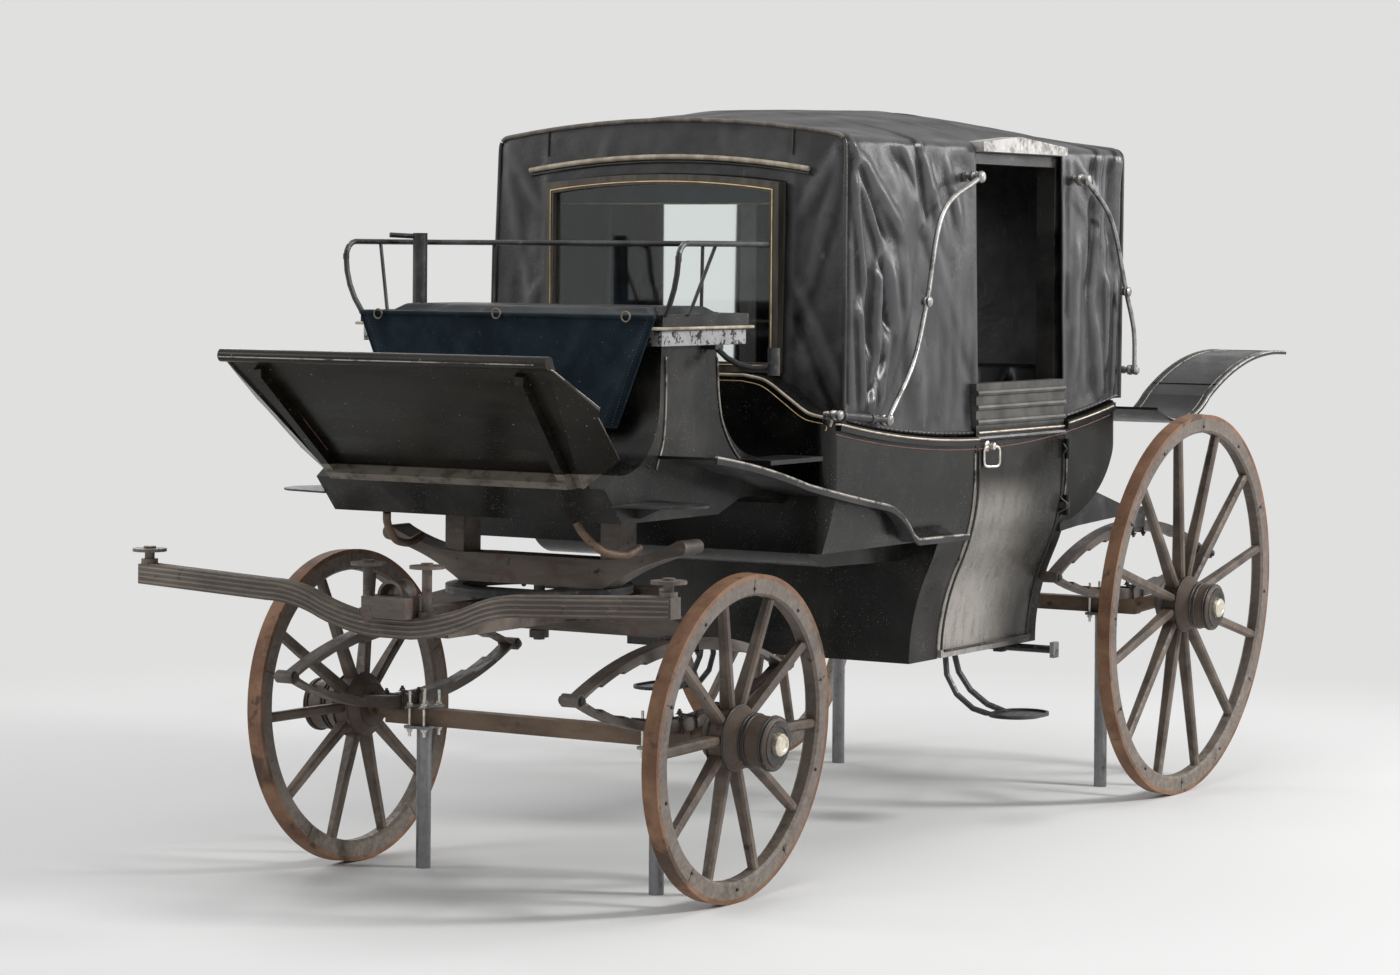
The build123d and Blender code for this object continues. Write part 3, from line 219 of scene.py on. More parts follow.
floor_mesh = bpy.data.meshes.new("floor")
floor_corners = [(x * floor_reach, y * floor_reach, 0) for x, y in ((-1, -1), (1, -1), (1, 1), (-1, 1))]
floor_mesh.from_pydata(floor_corners, [], [(0, 1, 2, 3)])
floor_mesh.materials.append(floor_paper())
floor = bpy.data.objects.new("floor", floor_mesh)
scene.collection.objects.link(floor)

world = bpy.data.worlds.new("studio")
scene.world = world
world.use_nodes = True
world_tree = world.node_tree
room = world_tree.nodes["Background"]
room.inputs["Color"].default_value = (0.80, 0.81, 0.83, 1)
room.inputs["Strength"].default_value = 0.36
backdrop = world_tree.nodes.new("ShaderNodeBackground")
backdrop.inputs["Color"].default_value = backdrop_white + (1,)
rays = world_tree.nodes.new("ShaderNodeLightPath")
seen = rays.outputs["Is Camera Ray"]
for kind_of_ray in ("Is Transmission Ray", "Is Glossy Ray"):
    either = world_tree.nodes.new("ShaderNodeMath")
    either.operation = "MAXIMUM"
    world_tree.links.new(seen, either.inputs[0])
    world_tree.links.new(rays.outputs[kind_of_ray], either.inputs[1])
    seen = either.outputs[0]
choose = world_tree.nodes.new("ShaderNodeMixShader")
world_tree.links.new(seen, choose.inputs["Fac"])
world_tree.links.new(room.outputs["Background"], choose.inputs[1])
world_tree.links.new(backdrop.outputs["Background"], choose.inputs[2])
world_tree.links.new(choose.outputs["Shader"], world_tree.nodes["World Output"].inputs["Surface"])

lamp_table = (
    # name, place, aim, size across, watts
    ("key", (8.7, 2.7, 5.5), (0, 0.0, 1.0), 1.9, 760),
    ("front_fill", (-6.2, -5.4, 4.2), (0, -0.8, 0.9), 3.2, 160),
    ("top", (0.5, -1.5, 6.0), (0, -0.3, 1.0), 3.6, 120),
    ("back_rim", (4.2, 7.0, 3.4), (0, 0.8, 1.1), 2.4, 110),
    ("far_side", (-6.0, 3.0, 3.6), (0, 0.4, 1.0), 3.0, 110),
)
for lamp_name, lamp_place, aim, across, watts in lamp_table:
    lamp_data = bpy.data.lights.new(lamp_name, "AREA")
    lamp_data.size = across
    lamp_data.energy = watts
    lamp = bpy.data.objects.new(lamp_name, lamp_data)
    facing = (Vector(lamp_place) - Vector(aim)).to_track_quat("Z", "Y").to_matrix().to_4x4()
    lamp.matrix_world = Matrix.Translation(lamp_place) @ facing
    scene.collection.objects.link(lamp)
print(len(lamp_table), "soft lamps")
# %% [markdown]
# ## Lacquer
#
# Coach black is many coats of varnish. After a century it is dusty, finely crazed and rubbed to grey where
# hands and boots touched it. The black stays nearly black; the age is in pale specks, soft grey clouds and
# a roughness that changes from place to place. The pale band on the door's tucked-in lower half is partly
# dust and partly a painted highlight, brightest towards the front and dimmer across the tuck's middle.

# %% Body lacquer
tuck_top_z, tuck_middle_z = 1.045, 0.83
fence_z = 1.165


def body_lacquer(name, dust=0.35, tuck_sheen_and_dust=0.0, cove=None):
    """Coach black, with a door's pale tuck of dust and painted highlight; cove is a band of heights that
    flakes.
    """
    f = Finish(name, Specular_IOR_Level=0.26, Coat_Weight=0.10, Coat_Roughness=0.12)
    height = f.axis("Z")
    clouds = f.grain(5, 5, 0.6)
    streaks = f.grain(9, 6, 0.68, f.moved((1, 1, 0.22)))
    worn_rough = f.band(clouds, 0.35, 0.7, 0.24, 0.46)
    colour = f.wash((0.0040, 0.0038, 0.0036), (0.030, 0.0285, 0.026), clouds, 0.42, 0.72, dust)
    colour = f.wash(colour, (0.065, 0.057, 0.048), streaks, 0.54, 0.74, dust * 0.5)
    if tuck_sheen_and_dust:
        # the pale tuck is dust and a painted highlight: brighter towards the front edge, dimmer across its
        # middle
        from_middle = f.math("ABSOLUTE", f.math("SUBTRACT", height, tuck_middle_z))
        tuck_sheen_mask = f.times(f.band(height, tuck_top_z, 0.90), f.band(from_middle, 0.04, 0.17, 0.62, 1.0))
        front_side = f.band(f.axis("Y"), 0.54, 0.20, 0.16, 1.0)
        streaky = f.grain(34, 6, 0.72, f.moved((1, 1, 0.25)))
        mottle = f.math("ADD", f.times(f.grain(120, 5, 0.75), 0.45), f.times(streaky, 0.55))
        pale_mask = f.times(f.times(f.times(tuck_sheen_mask, front_side), f.band(mottle, 0.30, 0.58, 0.45, 1.0)), tuck_sheen_and_dust)
        colour = f.blend(pale_mask, colour, (0.40, 0.375, 0.34))
        fence = f.band(height, fence_z, fence_z + 0.015)
        faded = f.times(fence, f.band(f.grain(16, 5), 0.3, 0.7, 0.35, 0.9))
        colour = f.blend(faded, colour, (0.105, 0.099, 0.090))
        worn_rough = f.math("ADD", worn_rough, f.times(fence, 0.22))
    if cove:
        foot, top = cove
        rough_patches = f.math("ADD", f.times(f.grain(34, 5, 0.7), 0.7), f.times(f.grain(110, 3), 0.3))
        in_cove = f.times(f.band(height, foot, foot + 0.002), f.band(height, top, top - 0.002))
        flakes = f.times(f.band(rough_patches, 0.44, 0.50), in_cove)
        colour = f.blend(flakes, colour, (0.38, 0.37, 0.38))
        f.metal(f.times(flakes, 0.5))
    specks = f.times(f.band(f.grain(240, 2, 0.6), 0.63, 0.71), f.band(f.grain(14, 3), 0.45, 0.6, 0.1, 0.75))
    f.colour(f.blend(specks, colour, (0.26, 0.245, 0.22)))
    f.rough(worn_rough)
    f.bump((f.grain(420, 2), 0.0004, 0.35), (f.cells(46, "DISTANCE_TO_EDGE"), 0.0006, 0.18))
    return f.material


seat_foot = corner("driver_seat")[0].z
lacquer = body_lacquer("lacquer")
# the door's tuck is painted pale: dust and a painted highlight together
door_lacquer = body_lacquer("door_lacquer", 0.4, 0.92)
boot_lacquer = body_lacquer("boot_lacquer", 0.9)
well_lacquer = body_lacquer("well_lacquer", 0.8)
seat_lacquer = body_lacquer("seat_lacquer", 0.8, cove=(seat_foot, seat_foot + 0.040))
pillar_lacquer = body_lacquer("pillar_lacquer", 1.6)
print("lacquers mixed")

# %% [markdown]
# ## Running-gear paint
#
# Wheels, timbers and springs were painted brown. The paint has gone grey-brown, worn to wood on the edges
# of the spokes and dirty in the corners. A noise stretched along the pieces makes the grain. A wheel's
# paint also knows how far each spot is from the axle: the felloes are rubbed pale, their foot is dusty and
# the nave dark.

# %% Wood and spring paint
def wheel_wear(f, colour, wheel):
    """Rubbed felloes, a dusty foot and a dark nave, by the distance from the wheel's middle."""
    wheel_low, wheel_high = corner(wheel)
    centre, radius = (wheel_low + wheel_high) / 2, (wheel_high.z - wheel_low.z) / 2
    across = f.moved((0, 1, 1), (0, -centre.y, -centre.z))
    out = f.node("VectorMath", {0: across}, operation="LENGTH").outputs["Value"]
    rim = f.band(out, radius - 0.047, radius - 0.043)
    flecks = f.times(rim, f.band(f.grain(60, 6, 0.75), 0.42, 0.62))
    pale_mask = f.times(rim, f.band(f.grain(7, 5, 0.65), 0.30, 0.62, 0.15, 0.80))
    colour = f.blend(pale_mask, colour, (0.150, 0.122, 0.106))
    colour = f.blend(f.times(flecks, 0.30), colour, (0.27, 0.235, 0.205))
    low_half = f.band(f.axis("Z"), centre.z, centre.z - radius)
    foot = f.times(f.band(out, radius - 0.15, radius - 0.050), low_half)
    dust = f.times(foot, f.band(f.grain(40, 5, 0.7), 0.46, 0.58, 0.0, 0.7))
    colour = f.blend(dust, colour, (0.23, 0.20, 0.15))
    return f.wash(colour, (0.075, 0.050, 0.034), out, 0.125, 0.095, 0.7)


def gear_paint(name, dark, pale, stretch=(1, 1, 1), wheel=None):
    """Old brown paint; the palest wear and the dirt are worked out from the two colours given."""
    f = Finish(name)
    vector = f.moved(stretch)
    broad = f.grain(9, 5, 0.62, vector)
    fine = f.grain(70, 5, 0.65, vector)
    colour = f.wash(dark, pale, broad, 0.33, 0.68)
    colour = f.wash(colour, tuple(min(1, c * 1.9) for c in pale), fine, 0.55, 0.78, 0.5)
    colour = f.wash(colour, (0.12, 0.035, 0.025), f.grain(17, 3), 0.60, 0.72, 0.45)
    if wheel:
        colour = wheel_wear(f, colour, wheel)
    f.colour(f.wash(colour, tuple(c * 0.35 for c in dark), f.grain(26, 4), 0.64, 0.74))
    f.rough(f.band(fine, 0.3, 0.7, 0.42, 0.72))
    f.bump((fine, 0.0012, 0.5), (f.grain(240, 3), 0.0005, 0.4))
    return f.material


front_wheel_paint, rear_wheel_paint = (
    gear_paint(end + "_wheel_paint", (0.060, 0.043, 0.033), (0.150, 0.115, 0.090), wheel=end + "_wheel_left")
    for end in ("front", "rear"))
timber_paint = gear_paint("timber_paint", (0.055, 0.042, 0.036), (0.165, 0.135, 0.110), (0.25, 1, 1))
spring_paint = gear_paint("spring_paint", (0.050, 0.038, 0.032), (0.130, 0.108, 0.092), (1, 0.3, 1))
axle_paint = gear_paint("axle_paint", (0.060, 0.040, 0.028), (0.190, 0.125, 0.080), (0.4, 1, 1))
print("paints mixed")

# %% [markdown]
# ## Iron
#
# Three kinds: the tyres, orange-brown with rust; painted black iron that shines at its worn edges; and bare
# fittings (rings, knobs, bolts) of brass and nickel rubbed pale.

# %% Rust, black iron and bare metal
def tyre_rust():
    f = Finish("tyre_rust", 0.75, 0.25)
    fine = f.grain(120, 4, 0.7)
    colour = f.wash((0.145, 0.070, 0.038), (0.270, 0.150, 0.088), f.grain(7, 5, 0.6), 0.35, 0.65)
    colour = f.wash(colour, (0.33, 0.22, 0.15), fine, 0.5, 0.75, 0.6)
    colour = f.wash(colour, (0.07, 0.045, 0.035), f.grain(19, 4), 0.60, 0.72)
    f.colour(f.wash(colour, (0.050, 0.036, 0.030), f.grain(3.4, 4, 0.6), 0.60, 0.66, 0.75))
    f.rough(f.band(fine, 0.3, 0.7, 0.55, 0.85))
    f.bump((fine, 0.0012, 0.5))
    return f.material


def black_iron_paint(name="black_iron", base=(0.022, 0.022, 0.023), worn=0.45):
    f = Finish(name, 0.45, 0.35)
    fine = f.grain(60, 5, 0.7)
    colour = f.wash(base, tuple(c * 2.2 + 0.01 for c in base), f.grain(8, 4), 0.4, 0.7)
    f.colour(f.wash(colour, (0.26, 0.25, 0.24), fine, 0.56, 0.72, worn))
    f.rough(f.band(fine, 0.3, 0.7, 0.30, 0.55))
    f.bump((fine, 0.0006, 0.35))
    return f.material


def bare_metal_worn(name, pale, stain, stain_amount=0.6, rough=0.3):
    f = Finish(name, rough, 0.9)
    fine = f.grain(55, 5, 0.7)
    colour = f.wash(pale, stain, f.grain(18, 5, 0.65), 0.48, 0.62, stain_amount)
    f.colour(f.wash(colour, tuple(c * 0.4 for c in stain), fine, 0.62, 0.74))
    f.rough(f.band(fine, 0.3, 0.7, rough * 0.7, rough * 1.7))
    f.bump((fine, 0.0005, 0.4))
    return f.material


rust = tyre_rust()
black_iron = black_iron_paint()
bright_metal = bare_metal_worn("bright_metal", (0.72, 0.69, 0.63), (0.30, 0.25, 0.20), 0.35)
iron_worn = bare_metal_worn("iron_worn", (0.34, 0.33, 0.32), (0.085, 0.080, 0.075), 0.75, 0.34)
cap_flaking = bare_metal_worn("cap_flaking", (0.46, 0.45, 0.44), (0.20, 0.185, 0.165), 0.8, 0.5)
stand_steel = bare_metal_worn("stand_steel", (0.23, 0.23, 0.24), (0.15, 0.14, 0.13), 0.3, 0.35)
print("metals mixed")

# %% [markdown]
# ## Leather and cloth
#
# The hood is thick grained leather with black dressing. It is grey where it stands proud and rubs, and
# that grey on the ridges is also a painted highlight; the darker hollows are painted shade. The hood's mesh
# carries an attribute called `proud` that the finish reads. The apron is navy wool cloth, and the cabin is
# trimmed in dark leather.

# %% Leathers and navy cloth
roof_from_z, roof_to_z = 1.985, 2.030


def leather(name, hollow, proud_colour, gloss=(0.34, 0.58), grain_size=330, reads_proud=True):
    """Dressed leather; gloss gives its least and greatest roughness, and the roof is always duller."""
    f = Finish(name, 0.45, Specular_IOR_Level=0.36)
    if reads_proud:
        proud = f.attribute("proud")
    else:
        proud = f.band(f.grain(4, 4), 0.35, 0.7)
    clouds = f.grain(6, 6, 0.62)
    scuffs = f.grain(26, 6, 0.7, f.moved((1, 1, 0.4)))
    # on the hood, the dark hollows are painted shade and the pale ridges are wear with a painted highlight
    colour = f.wash(hollow, proud_colour, proud, 0.1, 0.9)
    colour = f.wash(colour, tuple(c * 1.6 for c in proud_colour), clouds, 0.5, 0.75, 0.45)
    colour = f.wash(colour, (0.22, 0.20, 0.185), scuffs, 0.60, 0.72, 0.30)
    f.colour(f.wash(colour, tuple(c * 0.5 for c in hollow), f.grain(11, 5), 0.62, 0.75, 0.6))
    on_roof = f.band(f.axis("Z"), roof_from_z, roof_to_z)
    f.rough(f.math("ADD", f.band(clouds, 0.35, 0.7, *gloss), f.times(on_roof, 0.25)))
    f.bump((f.cells(grain_size, "DISTANCE_TO_EDGE"), 0.0005, 0.30), (f.grain(55, 5, 0.65), 0.0016, 0.35),
           (f.grain(14, 4, 0.6), 0.004, 0.25))
    return f.material


def navy_cloth(name):
    f = Finish(name, 0.92, Specular_IOR_Level=0.2, Sheen_Weight=0.10, Sheen_Roughness=0.4)
    weave = f.node("TexWave", {"Vector": f.place, "Scale": 480.0, "Distortion": 1.5},
                   bands_direction="DIAGONAL").outputs["Fac"]
    colour = f.wash((0.008, 0.018, 0.027), (0.017, 0.034, 0.048), f.grain(12, 5, 0.6), 0.35, 0.7)
    colour = f.wash(colour, (0.06, 0.08, 0.095), f.grain(30, 5, 0.7), 0.60, 0.74, 0.4)
    f.colour(f.wash(colour, (0.30, 0.29, 0.26), f.grain(170, 2), 0.73, 0.77))
    f.bump((weave, 0.0004, 0.5), (f.grain(28, 4), 0.002, 0.35))
    return f.material


# hood tones: the dark one is painted shade in the hollows, the pale one is wear and painted highlight on
# ridges
hood_leather = leather("hood_leather", (0.0045, 0.0045, 0.005), (0.066, 0.065, 0.069), (0.26, 0.44))
trim_leather = leather("trim_leather", (0.012, 0.013, 0.015), (0.035, 0.037, 0.041), (0.3, 0.5), 400, False)
patent_leather = leather("patent_leather", (0.007, 0.007, 0.007), (0.026, 0.025, 0.025), (0.3, 0.52), 500,
                         False)
cloth = navy_cloth("navy_cloth")

# %% Footboard varnish, window wood, glass
board_ledge_z = corner("footboard")[0].z + 0.038


def olive_varnish():
    """Dark olive varnish with a fine grain; below the ledge at the board's foot it is worn to grey wood."""
    f = Finish("olive_varnish", Specular_IOR_Level=0.24, Coat_Weight=0.10, Coat_Roughness=0.15)
    grain = f.grain(16, 5, 0.6, f.moved((0.15, 1, 1)))
    colour = f.wash((0.0050, 0.0040, 0.0026), (0.017, 0.0140, 0.0062), f.grain(2.2, 3), 0.35, 0.7)
    colour = f.wash(colour, (0.030, 0.023, 0.013), grain, 0.50, 0.72, 0.35)
    foot = f.band(f.axis("Z"), board_ledge_z + 0.003, board_ledge_z)
    worn_foot = f.times(foot, f.band(f.grain(30, 4), 0.3, 0.55, 0.45, 1.0))
    colour = f.blend(worn_foot, colour, (0.17, 0.150, 0.122))
    f.colour(f.wash(colour, (0.35, 0.33, 0.28), f.grain(150, 2), 0.72, 0.76))
    f.rough(f.band(grain, 0.3, 0.7, 0.22, 0.42))
    f.bump((grain, 0.0006, 0.3))
    return f.material


def window_wood_finish(name, dark, pale):
    f = Finish(name, 0.5)
    grain = f.grain(30, 5, 0.65, f.moved((1, 1, 0.12)))
    f.colour(f.wash(dark, pale, grain, 0.35, 0.7))
    f.rough(f.band(grain, 0.3, 0.7, 0.35, 0.6))
    f.bump((grain, 0.0008, 0.4))
    return f.material


def old_glass():
    f = Finish("old_glass", 0.04, IOR=1.45, Transmission_Weight=1.0)
    f.colour((0.86, 0.92, 0.90))
    f.bump((f.grain(3, 2), 0.002, 0.1))
    return f.material


olive = olive_varnish()
window_wood = window_wood_finish("window_wood", (0.030, 0.024, 0.020), (0.095, 0.078, 0.060))
tan_wood = window_wood_finish("tan_wood", (0.15, 0.115, 0.075), (0.34, 0.28, 0.20))
glass = old_glass()
print("finishes ready:", len(bpy.data.materials))

# %% [markdown]
# ## Dressing the frame
#
# Where the exact model already has the right shape, its mesh stays untouched and only its material slots
# change.

# %% Give each frame node its finish
finish_of = {
    lacquer: ["front_quarters", "rear_quarters", "front_panel"],
    seat_lacquer: ["driver_seat"],
    pillar_lacquer: ["door_pillars"],
    door_lacquer: ["door_left", "door_right"],
    boot_lacquer: ["driver_boot"],
    well_lacquer: ["cabin_well"],
    olive: ["footboard"],
    front_wheel_paint: ["front_wheel_left", "front_wheel_right"],
    rear_wheel_paint: ["rear_wheel_left", "rear_wheel_right"],
    timber_paint: ["lower_bed", "futchells", "sway_bar", "splinter_bar", "pole_socket", "transom",
                   "roller_bolts"],
    axle_paint: ["front_axle", "rear_axle"],
    spring_paint: ["front_springs", "rear_springs"],
    rust: ["front_tyre_left", "front_tyre_right", "rear_tyre_left", "rear_tyre_right"],
    black_iron: ["brake_column", "brake_shaft", "driver_steps", "hood_irons", "lamp_brackets",
                 "passenger_steps", "rear_body_irons", "seat_guard_rail", "wheel_plate_high",
                 "wheel_plate_low"],
    bright_metal: ["door_handle_left", "door_handle_right"],
    cap_flaking: ["door_caps"],
    stand_steel: ["front_stands", "rear_stands"],
    hood_leather: ["hood_front", "hood_rear"],
    patent_leather: ["front_mudguards", "rear_wings"],
    trim_leather: ["driver_cushion", "front_seat_cushion", "rear_seat_cushion", "front_seat_squab",
                   "rear_seat_squab"],
    cloth: ["seat_apron"],
    window_wood: ["front_window_frame", "seat_boards", "seat_heel_boards"],
    glass: ["front_window_pane"],
}
for material, names in finish_of.items():
    for name in names:
        held = nodes[name]
        if not held.material_slots:
            held.data.materials.append(material)
        for slot in held.material_slots:
            slot.material = material
dressed = {name for names in finish_of.values() for name in names}
print("undressed nodes:", sorted(set(nodes) - dressed))

# %% [markdown]
# ## Sheets of leather
#
# A hood is not a box: the leather hangs from bent hoops, is nailed along the belt, and creases where it is
# pulled to a corner. Each side is a grid of points that follows the frame's outline. Creases are added as
# strokes, each a short line with a width and a height, in the way that a painter would draw them. A second
# attribute keeps how far each point stands proud of its neighbours; the finish paints those ridges pale, as
# wear and painted highlight, and paints shade into the hollows.

# %% Grids, strokes and the proud attribute
def new_object(name, points, edges, faces):
    mesh = bpy.data.meshes.new(name)
    mesh.from_pydata([tuple(p) for p in points], edges, faces)
    piece = bpy.data.objects.new(name, mesh)
    scene.collection.objects.link(piece)
    return piece


def add_piece(name, points, faces, material, smooth=True):
    piece = new_object(name, points, [], faces)
    piece.data.materials.append(material)
    piece.data.polygons.foreach_set("use_smooth", [smooth] * len(piece.data.polygons))
    piece.data.update()
    return piece


def grid_faces(columns, rows, flipped=False, used_rows=None):
    """Faces of a grid of points, column after column; used_rows(i) can limit the rows of column i."""
    faces = []
    for i in range(columns - 1):
        first, last = used_rows(i) if used_rows else (0, rows - 1)
        for a in range(i * rows + first, i * rows + last):
            b = a + rows
            faces.append((a, b, b + 1, a + 1) if flipped else (a, a + 1, b + 1, b))
    return faces


def strokes_at(a, b, strokes):
    """Height of all the strokes at the points (a, b); each row is start, end, width and height."""
    total = np.zeros_like(a)
    for a0, b0, a1, b1, width, height in strokes:
        run = np.array((a1 - a0, b1 - b0))
        length = max(1e-6, np.hypot(*run))
        along = ((a - a0) * run[0] + (b - b0) * run[1]) / length
        across = ((a - a0) * run[1] - (b - b0) * run[0]) / length
        beyond = np.maximum(0, np.maximum(-along, along - length))
        total += height * np.exp(-(across / width) ** 2 - (beyond / (2.2 * width)) ** 2)
    return total


def ripple(a, b, scale_a, scale_b, height, seed):
    """Smooth random waves, longer along one axis than the other."""
    flat = [noise.noise(Vector((x * scale_a, y * scale_b, seed))) for x, y in zip(a.ravel(), b.ravel())]
    return np.array(flat).reshape(a.shape) * height


def keep_proud(mesh, heights, depth=0.004, reach=3):
    """Store how far each grid point stands above the mean of its neighbours."""
    padded = np.pad(heights, reach, mode="edge")
    mean = np.zeros_like(heights)
    for i in range(2 * reach + 1):
        for j in range(2 * reach + 1):
            mean += padded[i:i + heights.shape[0], j:j + heights.shape[1]]
    mean /= (2 * reach + 1) ** 2
    proud = np.clip(0.5 + (heights - mean) / depth, 0, 1)
    # the hood's finish turns this into painted shade in the hollows and pale, painted-highlit ridges
    layer = mesh.attributes.new("proud", "FLOAT", "POINT")
    extra = np.full(len(mesh.vertices) - proud.size, 0.5)
    layer.data.foreach_set("value", np.append(proud.ravel(), extra))


def edited(mesh, change):
    """Pass the mesh through a bmesh that change works on; returns what change returns."""
    bm = bmesh.new()
    bm.from_mesh(mesh)
    answer = change(bm)
    bm.to_mesh(mesh)
    bm.free()
    return answer


def weld(bm):
    bmesh.ops.remove_doubles(bm, verts=bm.verts, dist=1e-5)


def trim_loose(bm):
    """Delete the points that no face uses; returns the area of the faces."""
    bmesh.ops.delete(bm, geom=[v for v in bm.verts if not v.link_faces], context="VERTS")
    return sum(face.calc_area() for face in bm.faces)


def bake_modifiers(piece):
    """Apply what is on the piece by taking its evaluated mesh, so that nothing is left live."""
    graph = bpy.context.evaluated_depsgraph_get()
    finished = bpy.data.meshes.new_from_object(piece.evaluated_get(graph))
    piece.modifiers.clear()
    old = piece.data
    piece.data = finished
    finished.name = old.name
    bpy.data.meshes.remove(old)
    return piece


def thicken(piece, thickness):
    """Give a sheet its thickness, on the inner side of its faces."""
    wall = piece.modifiers.new("wall", "SOLIDIFY")
    wall.thickness = thickness
    wall.offset = -1
    wall.use_rim = True
    return bake_modifiers(piece)


def declare(piece, body, slot=None, *replaced):
    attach(piece, body)
    if replaced:
        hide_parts(*replaced)
    return piece


# %% [markdown]
# ## The hood
#
# The hood is in two halves that meet above the doors. Each half is one sheet: it starts at the belt on one
# side, rises to the hoops' ends, turns over a soft edge and crosses the roof. Its columns run from the
# front edge to the door pillar, and over the doorway only the roof rows remain.

# %% Outline of the hood in metres
hood_low, hood_high = corner("hood_front")
rear_high = corner("hood_rear")[1]
door_box_low, door_box_high = corner("door_left")
cab_low, cab_high = corner("front_quarters")[0], corner("rear_quarters")[1]
front_edge_y = hood_low.y + 0.001
split_y = hood_high.y
rear_edge_y = rear_high.y
pillar_front_y = door_box_low.y + 0.039
pillar_rear_y = door_box_high.y + 0.018
foot_z, edge_z = 1.05, 2.0
side_low_x, side_top_x = 0.588, 0.572
crown_end, crown_middle = 0.046, 0.110
edge_radius = 0.030
roof_hoops = (front_edge_y + 0.02, -0.24, split_y, 0.80, rear_edge_y - 0.02)
hoop_height, hoop_width = 0.004, 0.035
belt_top_z, belt_sag = 1.227, 0.079
cab_middle_y = (cab_low.y + cab_high.y) / 2
cab_half = (cab_high.y - cab_low.y) / 2


def belt_height(y):
    """Top of the belt line: a shallow arc, lowest between the doors."""
    return belt_top_z - belt_sag * (1 - np.minimum(1, ((y - cab_middle_y) / cab_half) ** 2))


def hood_side_x(z):
    share = (z - foot_z) / (edge_z - foot_z)
    return side_low_x + share * (side_top_x - side_low_x)


def end_lean_at(z, rear=False):
    """How far behind its foot the hood's front or rear face stands at a height."""
    return (z - foot_z) * 0.0536 - 0.060 if rear else (z - foot_z) * 0.0304


def crown(y):
    """Height of the roof's arch: greatest where the halves meet, with a soft ridge over each hoop."""
    reach = split_y - front_edge_y if y < split_y else rear_edge_y - split_y
    off = (y - split_y) / reach
    ridges = sum(hoop_height * math.exp(-((y - hoop_y) / hoop_width) ** 2) for hoop_y in roof_hoops)
    return crown_end + (crown_middle - crown_end) * (1 - off * off) + ridges - hoop_height


def hood_profile(y, side_rows, edge_rows, roof_rows):
    """Points (x, z) with their outward direction, from the left belt over the roof to the right belt."""
    start = float(belt_height(y)) + 0.003
    top = edge_z - edge_radius
    points = []
    for i in range(side_rows):
        z = start + (top - start) * i / side_rows
        points.append((hood_side_x(z), z, 1.0, 0.0))
    across = hood_side_x(edge_z) - edge_radius
    lift = crown(y)
    slope = math.atan2(2 * lift, across)
    for i in range(edge_rows):
        angle = (math.pi / 2 - slope) * i / edge_rows
        points.append((across + edge_radius * math.cos(angle), top + edge_radius * math.sin(angle),
                       math.cos(angle), math.sin(angle)))
    x_start = across + edge_radius * math.sin(slope)
    z_start = top + edge_radius * math.cos(slope)
    for i in range(roof_rows // 2):
        share = 1 - i / (roof_rows / 2)
        points.append((x_start * share, z_start + lift * (1 - share * share), math.sin(slope) * share, 1.0))
    right = [(-x, z, -nx, nz) for x, z, nx, nz in reversed(points)]
    middle = [(0.0, z_start + lift, 0.0, 1.0)]
    return points + middle + right


def belt_at(y):
    return float(belt_height(y))


def columns_to_pillar(start_y, end_y, count, pillar_y):
    """Even columns with the nearest one moved onto the door pillar, and the number of that column."""
    ys = np.linspace(start_y, end_y, count)
    at_pillar = int(np.argmin(np.abs(ys - pillar_y)))
    ys[at_pillar] = pillar_y
    return ys, at_pillar


def roof_rows_only(rows, first_roof_row, at_pillar, door_behind):
    """Which rows of a column are used: all of them, or over the doorway only those of the roof."""
    def used_rows(i):
        over_door = (i >= at_pillar) == door_behind
        return (first_roof_row, rows - 1 - first_roof_row) if over_door else (0, rows - 1)

    return used_rows


print("hood runs from", round(front_edge_y, 3), "to", round(rear_edge_y, 3))

# %% Creases drawn for each side, in metres along (y) and up (z)
front_creases = (
    # y0, z0, y1, z1, width, height
    (-0.655, 1.985, -0.400, 1.775, 0.026, 0.013),
    (-0.650, 1.960, -0.505, 1.715, 0.019, 0.014),
    (-0.628, 1.850, -0.590, 1.610, 0.018, 0.011),
    (-0.610, 1.900, -0.480, 1.745, 0.016, -0.011),
    (-0.497, 1.600, -0.518, 1.450, 0.016, 0.015),
    (-0.406, 1.600, -0.383, 1.500, 0.028, 0.010),
    (-0.470, 1.620, -0.440, 1.490, 0.018, -0.017),
    (-0.545, 1.590, -0.556, 1.440, 0.018, -0.012),
    (-0.608, 1.500, -0.590, 1.290, 0.018, 0.012),
    (-0.506, 1.440, -0.535, 1.270, 0.020, 0.011),
    (-0.478, 1.370, -0.540, 1.300, 0.014, -0.010),
    (-0.440, 1.430, -0.470, 1.300, 0.022, 0.006),
    (-0.237, 2.000, -0.115, 1.750, 0.026, 0.008),
    (-0.255, 1.990, -0.210, 1.800, 0.016, -0.007),
    (-0.307, 1.920, -0.037, 1.457, 0.040, 0.005),
    (-0.200, 1.700, 0.020, 1.380, 0.030, -0.004),
    (-0.070, 1.930, -0.015, 1.800, 0.026, 0.006),
    (-0.350, 1.970, -0.290, 1.880, 0.020, -0.006),
    (-0.420, 1.990, -0.360, 1.930, 0.030, -0.009),
    (-0.662, 1.930, -0.668, 1.270, 0.012, -0.008),
    (-0.330, 1.600, -0.250, 1.300, 0.045, 0.006),
)
